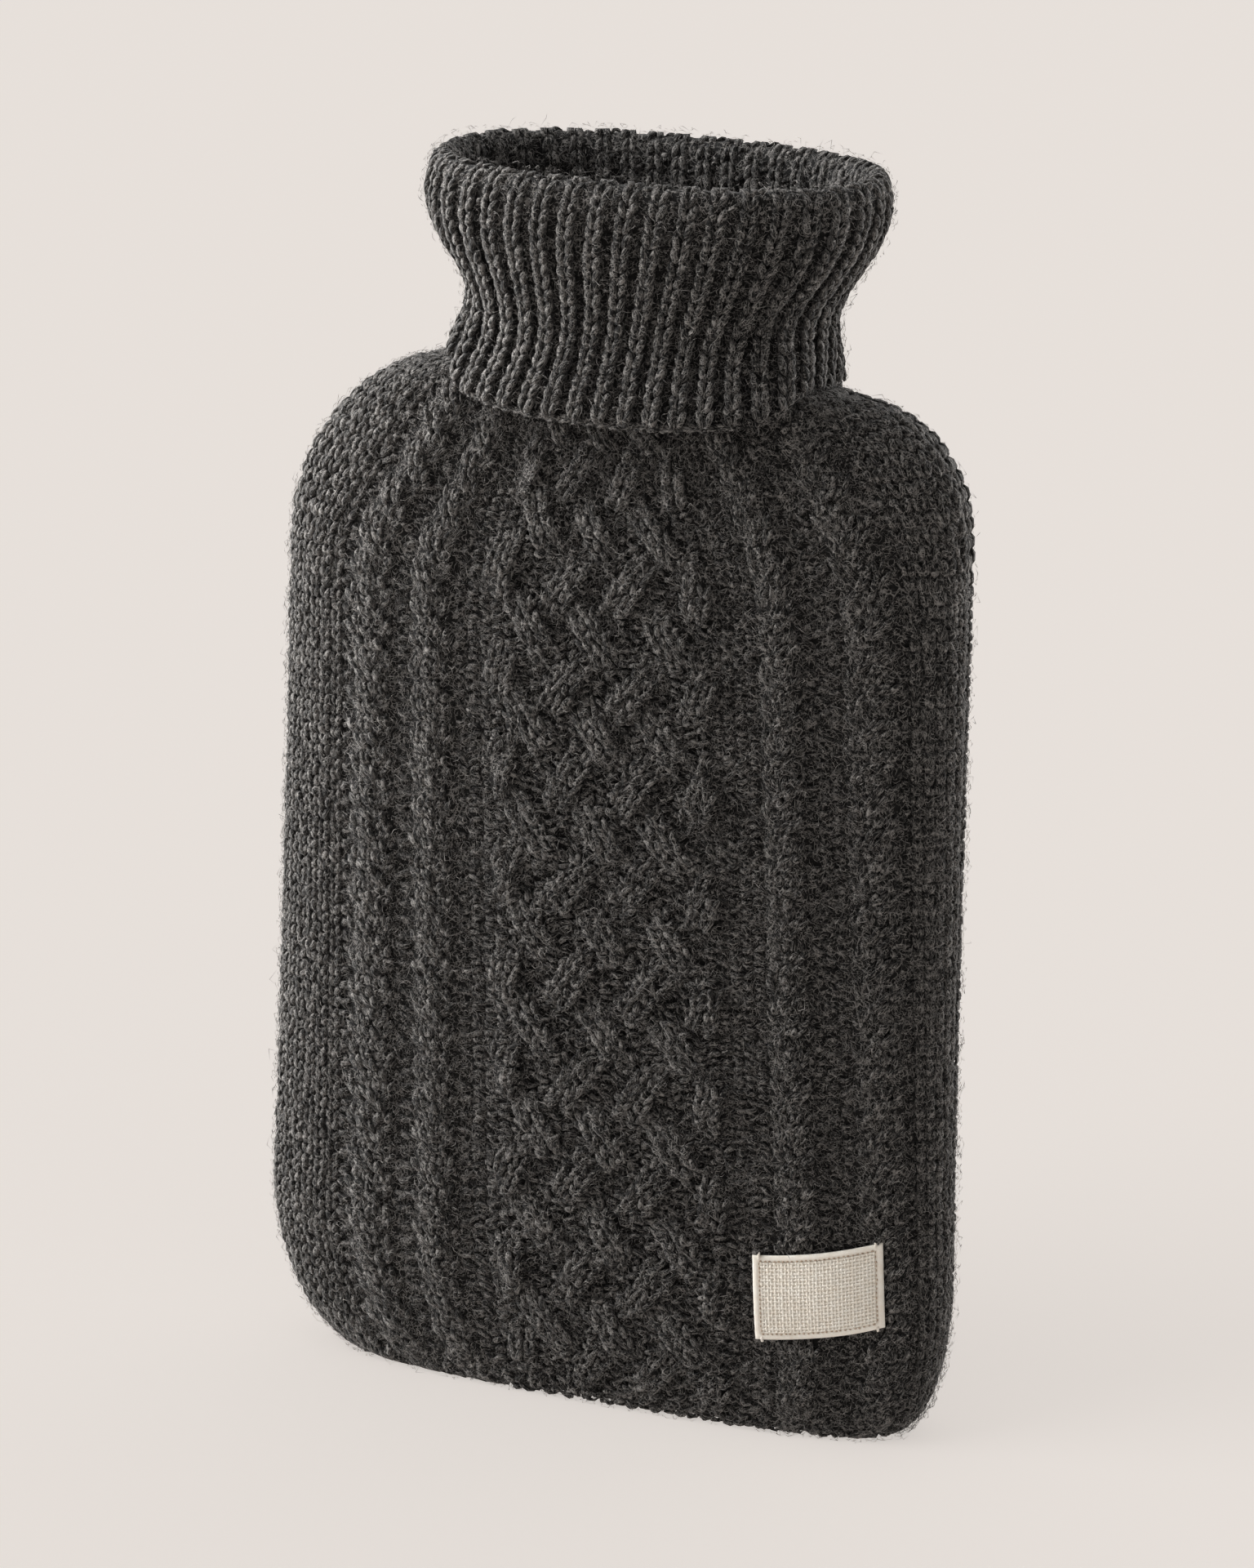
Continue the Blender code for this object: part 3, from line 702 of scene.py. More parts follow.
def knit_legs(surface, stitches, yarn, rng, profile=LEG_PROFILE, sides=4, press=None):
    """The two legs of each knit stitch. stitches: columns c, v, lean, width, course, low, high."""
    c, v, lean, width, course, low, high = stitch_columns(stitches)
    t = steps_along(profile)
    batches = []
    for side in (-1, 1):
        shake = rng.normal(0, 1, (len(stitches), 5))
        away = width * (0.03 + 0.38 * t) + width * (0.05 * shake[:, :1] + 0.12 * shake[:, 4:] * (t - 0.5))
        rise = course * (-0.20 + 1.40 * t) + 0.09 * course * shake[:, 1:2]
        u = c + side * away + lean * rise
        lift = low + (high - low) * t + yarn * (0.40 * arch(t) - 0.10)
        lift = lift + 0.06 * yarn * shake[:, 2:3]
        if press is not None:
            lift = press(u, v + rise, lift)
        radius = 0.54 * yarn * (1 + 0.11 * shake[:, 3]) * squeezed(width, yarn)
        batches.append(lay_yarn(surface, u, v + rise, lift, radius, profile, sides, 0.74))
    return batches


def purl_bumps(surface, stitches, yarn, rng, press):
    """The bump of each purl stitch, a short arc across its column. Same columns as knit_legs."""
    c, v, _, width, course, low, _ = stitch_columns(stitches)
    t = steps_along(LEG_PROFILE)
    shake = rng.normal(0, 1, (len(stitches), 4))
    u = c + width * 1.22 * (t - 0.5) + 0.09 * width * shake[:, :1]
    bend = 0.42 * by_turns(stitches) * np.sin(math.pi * t)
    rise = course * (bend + 0.22 * shake[:, 1:2] + 0.75 * shake[:, 2:3] * (t - 0.5))
    lift = low + yarn * (0.52 * arch(t) - 0.16) + 0.10 * yarn * shake[:, 3:4]
    radius = 0.43 * yarn * (1 + 0.10 * shake[:, 2]) * squeezed(width, yarn)
    return [lay_yarn(surface, u, v + rise, press(u, v + rise, lift), radius, LEG_PROFILE)]


def real_width(surface, c, v, width):
    """Width of a column as it lies on the cloth: columns draw together at the neck and feet."""
    step = 0.001
    left = surface.read(surface.points, c - step, v)
    right = surface.read(surface.points, c + step, v)
    return width * np.clip(np.linalg.norm(right - left, axis=-1) / (2 * step), 0.35, 1.15)


def body_rows(course):
    """Heights of the rows of the body."""
    return np.arange(-0.0020, NECK_HEIGHT - 0.0015, course)


def wales_between(start, end, wale):
    """Middles and width of the columns that fill a band."""
    count = max(round((end - start) / wale), 1)
    width = (end - start) / count
    return start + width * (np.arange(count) + 0.5), width


def plain_stitches(rows, columns, width, course, height):
    """Stitches of straight columns. height gives their relief."""
    c, v = (a.ravel() for a in np.meshgrid(columns, rows))
    low = height(c, v)
    high = height(c, v + course)
    return np.stack([c, v, 0 * c, 0 * c + width, 0 * c + course, low, high], axis=1)


def rope_stitches(start, end, rows, course):
    """Two strands of two columns each that cross over each other, always the same way."""
    middle = (start + end) / 2
    half = (end - start) / 2
    swing = half * ROPE_SWING
    hand = 1 if middle > 0 else -1
    stitches = []
    for strand in (0, 1):
        phase = math.pi * strand + ROPE_START
        for offset in (-1, 1):
            for v in rows:
                angle = 2 * math.pi * v / ROPE_PERIOD + phase
                centre = middle - hand * swing * math.cos(angle)
                slope = hand * swing * 2 * math.pi / ROPE_PERIOD * math.sin(angle)
                over = 0.5 + 0.5 * math.sin(angle)
                width = half * ROPE_WALE * (0.85 + 0.25 * over)
                c = centre + offset * width * 0.5
                crown = 1 - 0.35 * ((c - middle) / half) ** 2
                height = RISE["rope"] * crown * (0.42 + 0.58 * over) * float(relief_fade(v)) - SEAT
                stitches.append((c, v, slope, width, course, height, height))
    return np.array(stitches)


def plait_stitches(course, edges):
    """The over-strands of the plait, two columns each, as runs of stitches along their slant."""
    stitches = []
    half = CABLE_PERIOD / 2
    for place, height, side, size in crossing_rows():
        lean = side * (PLAIT_PITCH / 2) / half
        width = STRAND_HALF * math.hypot(1, lean) * 0.94
        steps = round(STRAND_OVERLAP * half / course)
        for k in range(steps):
            dv = (k - (steps - 1) / 2) * course
            v = height + dv
            if not 0.0 < v < NECK_HEIGHT - 0.008:
                continue
            for column in (-0.5, 0.5):
                c = place + lean * dv + column * width
                if not edges[0] < c < edges[1]:
                    continue
                low = RISE["plait"] * strand_relief(c, v, place, height, side)
                high = RISE["plait"] * strand_relief(c + lean * course, v + course, place, height, side)
                fade = float(relief_fade(v))
                low = low * size * fade - SEAT
                high = high * size * fade - SEAT
                stitches.append((c, v, lean, width, course * 1.12, low, high))
    return np.array(stitches)


def label_press(surface):
    """A function that presses stitches flat under the label."""
    def press(u, v, lift):
        place = surface.read(surface.places, u, v)
        pressed = np.minimum(lift, LABEL_SEAT - STITCH_ROOM)
        return np.where(under_label(place, v, PRESS_MARGIN), pressed, lift)
    return press


def under_label(place, z, margin):
    """Whether points of the smooth front lie under the label or this close to it."""
    along = place - LABEL_PLACE[0] + LABEL_LEAN * (z - LABEL_PLACE[1])
    up = z - LABEL_PLACE[1] - LABEL_SLOPE * (place - LABEL_PLACE[0])
    return (np.abs(along) < LABEL_WIDTH / 2 + margin) & (np.abs(up) < LABEL_HEIGHT / 2 + margin)


def front_stitches(surface, settings):
    """All knit and all purl stitches of the front."""
    course = settings.course
    rows = body_rows(course)
    purl_rows = body_rows(settings.purl_course)
    knit = []
    purl = []
    for kind, start, end in band_edges():
        if kind == "rope":
            knit.append(rope_stitches(start, end, rows, course))
            continue
        if kind == "plait":
            knit.append(plait_stitches(course, (start, end)))
            columns, width = wales_between(start, end, settings.wale)
            ground = plain_stitches(purl_rows, columns, width, settings.purl_course, relief)
            shown = relief(ground[:, 0], ground[:, 1]) + SEAT < 0.66 * RISE["plait"]
            purl.append(ground[shown])
            continue
        columns, width = wales_between(start, end, settings.wale)
        if kind == "plain":
            knit.append(plain_stitches(rows, columns, width, course, relief))
        else:
            purl.append(plain_stitches(purl_rows, columns, width, settings.purl_course, relief))
    knit = np.concatenate(knit)
    purl = np.concatenate(purl)
    for stitches in (knit, purl):
        stitches[:, 3] = real_width(surface, stitches[:, 0], stitches[:, 1], stitches[:, 3])
    return [hidden_removed(surface, s) for s in (knit, purl)]


def hidden_removed(surface, stitches):
    """Without the stitches that lie wholly under the label."""
    place = surface.read(surface.places, stitches[:, 0], stitches[:, 1])
    return stitches[~under_label(place, stitches[:, 1], HIDDEN_MARGIN)]


def stay_above_floor(batches):
    """Batches whose yarn is pressed flat where it would reach below the floor."""
    for vertices, _, _ in batches:
        np.maximum(vertices[:, :, 2], FLOOR_CLEARANCE, out=vertices[:, :, 2])
    return batches


# ---------------------------------------------------------------- collar

def from_table(table, height):
    """Half width, half depth and middle of the folded band at a height."""
    low, high = table[:2] if height <= table[1][0] else table[1:]
    k = ease((height - low[0]) / (high[0] - low[0]))
    return [a + (b - a) * k for a, b in zip(low[1:], high[1:])]


def oval(width, depth, count, shift, right_square):
    """Evenly spaced points round an oval from its right end, shifted round by a distance."""
    turn = np.linspace(0, 2 * math.pi, 721)
    across, deep = squarish(turn, np.where(np.cos(turn) > 0, right_square, COLLAR_SQUARE))
    x = width * across
    y = depth * deep
    run = run_along(x, y)
    at = (np.arange(count) / count * run[-1] + shift) % run[-1]
    return np.interp(at, run, x), np.interp(at, run, y)


def shoulder_height(x, y):
    """Height of the body over points inside its outline, and 0 outside it."""
    def covers(z):
        width = np.where(x < 0, half_width("left", z), half_width("right", z))
        width = np.maximum(width, 1e-6)
        return (np.abs(x) / width) ** SQUARE_BODY + (np.abs(y) / half_depth(z)) ** SQUARE_BODY < 1
    low = np.full(len(x), 0.20)
    high = np.full(len(x), NECK_HEIGHT)
    top = covers(high)
    none = ~covers(low)
    for _ in range(30):
        mid = (low + high) / 2
        inside = covers(mid)
        low = np.where(inside, mid, low)
        high = np.where(inside, high, mid)
    height = low + SHOULDER_TILT * x
    return np.where(top, NECK_HEIGHT, np.where(none, 0.0, height))


def hem_heights(x, y, depth):
    """Heights of the hem, which droops freely until it meets the shoulders, and is smooth all round."""
    free = COLLAR_OUTSIDE[0][0] - HEM_DROOP * (y / depth) ** 2
    inward = 1 - 0.3 * LAYER / np.hypot(x, y)
    rest = shoulder_height(x * inward, y * inward) - HEM_SINK * beside_collar(x * inward)
    smooth = np.maximum(free, rest + HEM_CLEARANCE)
    for _ in range(round(len(x) * HEM_EASING)):
        smooth = np.maximum(smooth, (np.roll(smooth, 1) + 2 * smooth + np.roll(smooth, -1)) / 4)
    return smooth


def collar_ring(table, height, inset, count, lift=0.0):
    """One ring of the folded band without its ribs."""
    width, depth, middle = from_table(table, height)
    low_z = table[0][0]
    flare_z = table[-1][0]
    carry = (height + lift - low_z) / (flare_z + RIM_HEIGHT - low_z)
    hem = 1 - ease((height - low_z) / HEM_HEIGHT) if table is COLLAR_OUTSIDE else 0.0
    square = COLLAR_SQUARE + (HEM_SQUARE - COLLAR_SQUARE) * hem
    x, y = oval(width - inset, depth - inset, count, RIB_SLANT * (carry - 0.5), square)
    if table is COLLAR_OUTSIDE:
        start = hem_heights(x, y, depth)
    else:
        start = low_z + SHOULDER_TILT * x
    z = start + (flare_z - start) * (height - low_z) / (flare_z - low_z) + lift
    carry = np.clip((z - low_z) / (flare_z + RIM_HEIGHT - low_z), 0, 1)
    z = z + ease(carry) * (RIM_TILT[0] * x + RIM_TILT[1] * y)
    return np.stack([x + middle + HEM_SHIFT * hem, y + COLLAR_LEAN * carry, z], axis=1) - MIDDLE


def collar_surface(inset=0.0):
    """The folded band from the hem up its outside, over the rim and down its inside to the neck."""
    count = COLLAR_RING
    hem_z = COLLAR_OUTSIDE[0][0]
    flare_z = COLLAR_OUTSIDE[-1][0]
    neck_z = COLLAR_INSIDE[0][0]
    band = COLLAR_OUTSIDE[-1][2] - COLLAR_INSIDE[-1][2]
    rings = [collar_ring(COLLAR_OUTSIDE, h, inset, count) for h in np.linspace(hem_z, flare_z, 25)]
    for angle in np.radians(np.linspace(0, 180, 13)[1:-1]):
        over = inset * math.cos(angle) + band / 2 * (1 - math.cos(angle))
        lift = (RIM_HEIGHT - inset) * math.sin(angle)
        rings.append(collar_ring(COLLAR_OUTSIDE, flare_z, over, count, lift))
    rings += [collar_ring(COLLAR_INSIDE, h, -inset, count) for h in np.linspace(flare_z, neck_z, 22)]
    rings = np.array(rings)
    lengths = np.linalg.norm(np.diff(rings, axis=0), axis=2).mean(axis=1)
    v = np.concatenate(([0], np.cumsum(lengths)))
    even = np.linspace(0, v[-1], 131)
    table = np.empty((len(even), count, 3))
    for i in range(count):
        for axis in range(3):
            table[:, i, axis] = np.interp(even, v, rings[:, i, axis])
    return Surface(table, table[:, :, 2], 0.0, 1.0, 0.0, v[-1], wraps=True)


def rim_share(v, length):
    """From 0 far from the rim to 1 on it, at a distance v from the hem."""
    return np.exp(-((v / length - RIM_PLACE) / RIM_REACH) ** 2)


def rib_level(v, length, level):
    """Height of a knit or purl column at a distance v from the hem: they even out over the rim."""
    return level + (RIM_LEVEL - level) * rim_share(v, length)


def rib_height(u, valley, crest):
    """Height of the rib between the levels of its purl columns and its knit ones."""
    share = 0.5 - 0.5 * np.cos(2 * math.pi * RIBS * u)
    return valley + (crest - valley) * share


def collar_stitches(surface, settings):
    """Knit columns and the purl columns between them, right over the fold."""
    length = surface.length()
    course = settings.rib_course
    rows = np.arange(0.0016, length - 0.002, course)
    girth = np.linalg.norm(np.diff(surface.points, axis=1), axis=2).sum(axis=1)
    at_row = np.interp(rows, np.linspace(0, length, len(girth)), girth)
    knit = []
    purl = []
    for rib in range(RIBS):
        for v, around in zip(rows, at_row):
            rib_width = around / RIBS
            high = rib_level(v, length, RIB_CREST)
            low = rib_level(v, length, RIB_VALLEY)
            knit.append(((rib + 0.5) / RIBS, v, 0, 0.80 * rib_width / around, course, high, high))
            purl.append(((rib + 1.0) / RIBS, v + 0.4 * course, 0, 0.42 * rib_width / around,
                         course * 0.7, low, low))
    return np.array(knit), np.array(purl)


def collar_legs(surface, stitches, yarn, rng):
    """Legs of the rib's knit columns. Widths are shares of the girth here."""
    c, v, _, width, course, low, _ = stitch_columns(stitches)
    t = steps_along(RIB_PROFILE)
    out = t**0.85
    batches = []
    for side in (-1, 1):
        shake = rng.normal(0, 1, (len(stitches), 4))
        u = c + side * width * (0.05 + 0.30 * out) + 0.018 * width * shake[:, :1]
        rise = course * (-0.24 + 1.42 * t) + 0.06 * course * shake[:, 1:2]
        lift = low + yarn * (0.14 * arch(t) + 0.07 - 0.24 * t)
        lift = lift + 0.03 * yarn * shake[:, 2:3]
        radius = 0.56 * yarn * (1 + 0.06 * shake[:, 3])
        batches.append(lay_yarn(surface, u, v + rise, lift, radius, RIB_PROFILE, squash=0.62))
    return batches


def collar_bumps(surface, stitches, yarn, rng):
    """Bumps of the rib's purl columns, deep between the legs."""
    c, v, _, width, course, low, _ = stitch_columns(stitches)
    t = steps_along(SHORT_PROFILE)
    shake = rng.normal(0, 1, (len(stitches), 4))
    u = c + width * 1.05 * (t - 0.5) + 0.10 * width * shake[:, :1]
    bend = 0.60 * by_turns(stitches) * np.sin(math.pi * t)
    rise = course * (bend + 0.20 * shake[:, 1:2] + 0.4 * shake[:, 2:3] * (t - 0.5))
    lift = low + yarn * (0.36 * arch(t) - 0.10) + 0.08 * yarn * shake[:, 2:3]
    radius = 0.36 * yarn * (1 + 0.10 * shake[:, 3])
    return [lay_yarn(surface, u, v + rise, lift, radius, SHORT_PROFILE)]


def cast_off_edge(surface, yarn, rng):
    """The chain of the cast-off hem, two links to each rib."""
    links = 2 * RIBS
    at = (np.arange(links) / links)[:, None]
    t = steps_along(CHAIN_PROFILE)
    batches = []
    for level, slant in ((0.0006, 0.0008), (0.0014, -0.0006)):
        shake = rng.normal(0, 1, (links, 3))
        u = at + (1.75 * t - 0.4) / links
        v = level + slant * (t - 0.5) * 2 + 0.0002 * shake[:, :1]
        lift = yarn * (0.3 * np.sin(math.pi * t) - 0.35)
        radius = 0.32 * yarn * (1 + 0.10 * shake[:, 1])
        batches.append(lay_yarn(surface, u, v, lift, radius, CHAIN_PROFILE))
    return batches


# ---------------------------------------------------------------- loose fibres

def loose_fibres(surface, count, u_range, v_range, height, length, rng):
    """Thin crinkled fibres that lie on the cloth at random, some of them standing off it."""
    u = rng.uniform(*u_range, count)
    v = rng.uniform(*v_range, count)
    root, normals = surface.at(u, v, height(u, v))
    across = unit(surface.read(surface.across, u, v))
    up = unit(np.cross(normals, across))
    way = rng.uniform(0, 2 * math.pi, count)[:, None]
    flat = np.cos(way) * across + np.sin(way) * up
    side = np.cos(way) * up - np.sin(way) * across
    long = (length * rng.lognormal(-0.1, 0.4, count)).clip(0.3 * length, 2.2 * length)[:, None]
    stand = np.abs(rng.normal(0.03, 0.13, (count, 1)))
    bow = rng.normal(0, 0.30, (count, 1))
    middle = root + long * (0.5 * flat + (0.14 + 0.8 * stand) * normals + bow * side)
    tip = root + long * (0.92 * flat + stand * rng.uniform(0, 1.5, (count, 1)) * normals)
    paths = np.stack([root, middle, tip], axis=1)
    radius = rng.uniform(0.00005, 0.00010, count)
    every = np.repeat(normals[:, None], 3, axis=1)
    return spin(paths, every, radius, np.array([0, 1.0, 0]), 3, 1.0)


# ---------------------------------------------------------------- label

def label_frame(along, rise, lift):
    """Points of the label from its own width and height, at a height above the smooth front."""
    a = LABEL_PLACE[0] + along - LABEL_LEAN * rise
    sag = LABEL_SAG * ((2 * along / LABEL_WIDTH) ** 2 - 1)
    z = LABEL_PLACE[1] + LABEL_LIFT + rise + LABEL_SLOPE * along + sag
    shape = np.broadcast(a, z).shape
    a, z, lift = (np.broadcast_to(v, shape).ravel() for v in (a, z, lift))
    step = 0.0005
    here = front_at(a, z)
    normals = unit(np.cross(front_at(a + step, z) - here, front_at(a, z + step) - here))
    points = here + normals * lift[:, None]
    return points.reshape(shape + (3,)), normals.reshape(shape + (3,))


def front_at(a, z):
    """Points of the smooth front at distances a round it and heights z."""
    points = np.empty((len(a), 3))
    for i, (place, height) in enumerate(zip(a, z)):
        x, y = section(height, points=241)
        run = run_from_middle(x, y)
        points[i] = body_point(np.interp([place], run, x), np.interp([place], run, y), height)[0]
    return points


def label_surface():
    """The label's surface as a table, so that many threads can be laid on it quickly."""
    along = np.linspace(-0.62, 0.62, 33) * LABEL_WIDTH
    rise = np.linspace(-0.62, 0.62, 25) * LABEL_HEIGHT
    points, normals = label_frame(along[None, :], rise[:, None], 0.0)
    surface = Surface(points, points[:, :, 2], along[0], along[-1], rise[0], rise[-1])
    surface.normals = normals
    return surface


def label_wave(along, rise):
    """The label isn't quite flat: it bows between its stitches."""
    x = along / LABEL_WIDTH
    y = rise / LABEL_HEIGHT
    return 0.00035 * np.cos(math.pi * x) * np.cos(math.pi * y) + 0.00018 * np.sin(7 * x + 2 * y)


# ---------------------------------------------------------------- materials

def add_node(tree, kind, links=(), **settings):
    """Add a node. Its settings are attributes, or input values by name; links are (input, output socket)."""
    node = tree.nodes.new(kind)
    for key, value in settings.items():
        if hasattr(node, key):
            setattr(node, key, value)
        else:
            node.inputs[key.replace("_", " ")].default_value = value
    for name, socket in links:
        tree.links.new(node.inputs[name], socket)
    return node


def new_material(name):
    """A material without nodes, and its node tree."""
    material = bpy.data.materials.new(name)
    material.use_nodes = True
    material.node_tree.nodes.clear()
    return material, material.node_tree


def object_place(tree):
    """Place in the piece's own metres."""
    return add_node(tree, "ShaderNodeTexCoord").outputs["Object"]


def noise(tree, place, scale, **more):
    """Level of a soft random pattern. In metres, its patches are about 1 / scale apart."""
    return add_node(tree, "ShaderNodeTexNoise", [("Vector", place)], Scale=scale, **more).outputs["Fac"]


def tint(colour, factor=1.0):
    """A colour made lighter or darker, with an alpha of 1."""
    return tuple(factor * c for c in colour[:3]) + (1,)


def colour_steps(tree, level, *steps):
    """A level turned into a colour between (place, colour) steps."""
    ramp = add_node(tree, "ShaderNodeValToRGB", [("Fac", level)])
    stops = ramp.color_ramp.elements
    while len(stops) < len(steps):
        stops.new(0.5)
    for stop, (place, colour) in zip(stops, steps):
        stop.position = place
        stop.color = colour
    return ramp.outputs["Color"]


def finish_material(tree, colour, height, strength, depth, roughness, sheen, **more):
    """End a material: its colour, the relief that a height gives it, and how dry and downy it is."""
    bump = add_node(tree, "ShaderNodeBump", [("Height", height)], Strength=strength, Distance=depth)
    links = [("Base Color", colour), ("Normal", bump.outputs["Normal"])]
    shader = add_node(tree, "ShaderNodeBsdfPrincipled", links, Roughness=roughness,
                      Sheen_Weight=sheen, **more)
    shader.inputs["Specular IOR Level"].default_value = 0.25
    add_node(tree, "ShaderNodeOutputMaterial", [("Surface", shader.outputs["BSDF"])])


def math_node(tree, operation, first, *others):
    """A sum or product, clamped except for SUBTRACT and ABSOLUTE. The others are sockets or numbers."""
    node = add_node(tree, "ShaderNodeMath", [(0, first)], operation=operation)
    node.use_clamp = operation in ("MULTIPLY_ADD", "MULTIPLY", "MAXIMUM")
    set_inputs(tree, node, others)
    return node.outputs["Value"]


def level_sum(tree, first, factor, addend):
    """first * factor + addend, not clamped."""
    node = add_node(tree, "ShaderNodeMath", [(0, first)], operation="MULTIPLY_ADD")
    set_inputs(tree, node, (factor, addend))
    return node.outputs["Value"]


def set_inputs(tree, node, values):
    """Give a node its inputs after the first, which are sockets or numbers."""
    for place, value in enumerate(values, 1):
        if isinstance(value, (int, float)):
            node.inputs[place].default_value = value
        else:
            tree.links.new(node.inputs[place], value)


def curled_lines(tree, place, spacing, share, shift):
    """Thin curled lines some spacing (in metres) apart, broken up by a coarser pattern: matted fibres."""
    moved = add_node(tree, "ShaderNodeVectorMath", [(0, place)], operation="ADD")
    moved.inputs[1].default_value = (shift, -shift, 2 * shift)
    winding = noise(tree, moved.outputs["Vector"], 1 / spacing, Detail=1.0, Roughness=0.4)
    far = math_node(tree, "ABSOLUTE", math_node(tree, "SUBTRACT", winding, 0.5))
    line = math_node(tree, "MULTIPLY_ADD", far, -1 / share, 1.0)
    coarse = noise(tree, moved.outputs["Vector"], 0.55 / spacing)
    gaps = math_node(tree, "MULTIPLY_ADD", coarse, 9.0, -4.1)
    return math_node(tree, "MULTIPLY", line, gaps)


MATTED_FIBRES = (
    # spacing  share  shift
    (0.0026, 0.030, 0.13),      # long fibres, 2.6 mm from curl to curl
    (0.0017, 0.036, 0.57),
    (0.0010, 0.048, 0.91),      # short ones, tightly curled
)


def wool_surface(tree, base, streaks, colours):
    """Finish wool: a base colour with pale matted fibres across it, and relief from both."""
    place = object_place(tree)
    lines = [curled_lines(tree, place, *fibres) for fibres in MATTED_FIBRES]
    both = math_node(tree, "MAXIMUM", lines[0], lines[1])
    every = math_node(tree, "MAXIMUM", both, lines[2])
    share = math_node(tree, "MULTIPLY", every, 0.85)
    mixed = add_node(tree, "ShaderNodeMix", [(0, share), (6, base)], data_type="RGBA")
    mixed.inputs[7].default_value = tint(colours.wool_light, 1.9)
    height = math_node(tree, "MULTIPLY_ADD", every, 0.8, streaks)
    finish_material(tree, mixed.outputs[2], height, 0.35, 0.0003, 0.92, 0.06, Sheen_Roughness=0.5)


def marled_wool(name, colours):
    """Carded wool, woollen-spun and marled: dark and light fibres lie side by side along the yarn, which
    gives the eye fine streaks that follow each stitch, and a soft, dry surface with no gloss."""
    material, tree = new_material(name)
    yarn = add_node(tree, "ShaderNodeUVMap", uv_map="yarn")
    place = add_node(tree, "ShaderNodeMapping", [("Vector", yarn.outputs["UV"])])
    place.inputs["Scale"].default_value = (3000.0, 600.0, 1.0)      # tufts of fibre 0.3 mm wide, 1.7 mm long
    place.inputs["Rotation"].default_value = (0.0, 0.0, 0.35)       # the twist of the spinning
    fibre = noise(tree, place.outputs["Vector"], 1.0, Detail=2.0, Roughness=0.6)
    shade = add_node(tree, "ShaderNodeAttribute", attribute_name="marl")
    level = level_sum(tree, shade.outputs["Fac"], 0.022, fibre)     # each length of yarn has its own shade
    colour = colour_steps(tree, level, (0.41, tint(colours.wool_dark)), (0.52, tint(colours.wool_mid)),
                          (0.64, tint(colours.wool_light)))
    wool_surface(tree, colour, fibre, colours)
    return material


def felted_ground_painted_shade(name, colours):
    """The same wool deep between the stitches, matted, with no streaks but many loose fibres, and painted
    darker than the yarn: painted shade of the deep wool between the stitches.
    """
    material, tree = new_material(name)
    mat = noise(tree, object_place(tree), 1400.0, Detail=3.0, Roughness=0.65)   # fibres 0.7 mm apart
    # painted shade: this colour has no light fibres, so the ground is darker than the yarn over it
    colour = colour_steps(tree, mat, (0.32, tint(colours.wool_dark)), (0.68, tint(colours.wool_mid, 1.3)))
    wool_surface(tree, colour, mat, colours)
    return material


def loose_fibre_wool(name, colours):
    """Single wool fibres that have worked loose, painted paler than the yarn: a painted highlight for the
    light they catch.
    """
    material, tree = new_material(name)
    shade = add_node(tree, "ShaderNodeAttribute", attribute_name="marl")
    level = level_sum(tree, shade.outputs["Fac"], 0.22, 0.5)
    # painted highlight: the fibres' colour runs from 1.5 times the grey wool up to 2.6 times the light wool
    colour = colour_steps(tree, level, (0.0, tint(colours.wool_mid, 1.5)),
                          (0.5, tint(colours.wool_light, 1.1)), (1.0, tint(colours.wool_light, 2.6)))
    scales = noise(tree, object_place(tree), 9000.0)
    finish_material(tree, colour, scales, 0.1, 0.00002, 0.7, 0.1)
    return material


def plain_linen(name, low, high, slub=420.0):
    """Unbleached linen, plain-woven: slubby flax threads in warm beige, a little uneven in colour along
    their length, with a dull sheen."""
    material, tree = new_material(name)
    place = object_place(tree)
    uneven = noise(tree, place, slub, Detail=4.0, Roughness=0.6)    # slubs about 2.4 mm apart in the weave
    flax = noise(tree, place, 5200.0, Detail=2.0)                   # flax fibres 0.2 mm apart
    both = add_node(tree, "ShaderNodeMath", [(0, uneven), (1, flax)], operation="MULTIPLY")
    colour = colour_steps(tree, both.outputs["Value"], (0.10, linear(low)), (0.38, linear(high)))
    finish_material(tree, colour, flax, 0.5, 0.00015, 0.8, 0.2)
    return material


def lit_table(name, hex_colour):
    """An opal table top lit from below, as for catalogue photographs: even, warm and pale, with shadows
    that stay faint because most of its light comes through it."""
    material, tree = new_material(name)
    pale = linear(hex_colour)
    tooth = noise(tree, object_place(tree), 900.0)
    colour = colour_steps(tree, tooth, (0.2, tint(pale, 0.99)), (0.8, pale))
    finish_material(tree, colour, tooth, 0.02, 0.0002, 0.95, 0.0, Emission_Color=pale,
                    Emission_Strength=TABLE_GLOW)
    return material


# ---------------------------------------------------------------- operators

def dress(piece, material):
    """Give a piece its material and let it ride on the cover."""
    piece.data.materials.append(material)
    cover_collection().objects.link(piece)
    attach(piece, "root")
    return piece


def start_piece(context, seed):
    """The settings, the colours and a piece's own source of chance."""
    return context.scene.cover_settings, context.scene.cover_colours, np.random.default_rng(seed)


def fibre_height(level, yarn, rng):
    """A function for the height of the fibres' roots over knitting whose middle has some level."""
    def height(u, v):
        return level(u, v) + rng.uniform(*FIBRE_DEPTH, len(u)) * yarn
    return height


def split_by_column(stitches, cuts):
    """Stitches in groups from left to right, cut at these columns."""
    edges = [-1.0, *cuts, 1.0]
    return [stitches[(stitches[:, 0] >= a) & (stitches[:, 0] < b)] for a, b in zip(edges, edges[1:])]


def keep_off_label(hairs):
    """Drop the fibres that lie in the label."""
    vertices, faces, uvs = hairs
    low, high = label_box()
    middle = vertices.mean(axis=1)
    keep = ~((middle > low) & (middle < high)).all(axis=1)
    per = vertices.shape[1]
    face = faces[: len(faces) // len(vertices)]
    count = int(keep.sum())
    faces = (face[None] + (np.arange(count) * per)[:, None, None]).reshape(-1, 3)
    return vertices[keep], faces, uvs[keep]


def label_box():
    """Two corners of the label's box, a little inside it."""
    low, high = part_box("label")
    margin = 0.0002
    return np.array(low) + margin, np.array(high) - margin


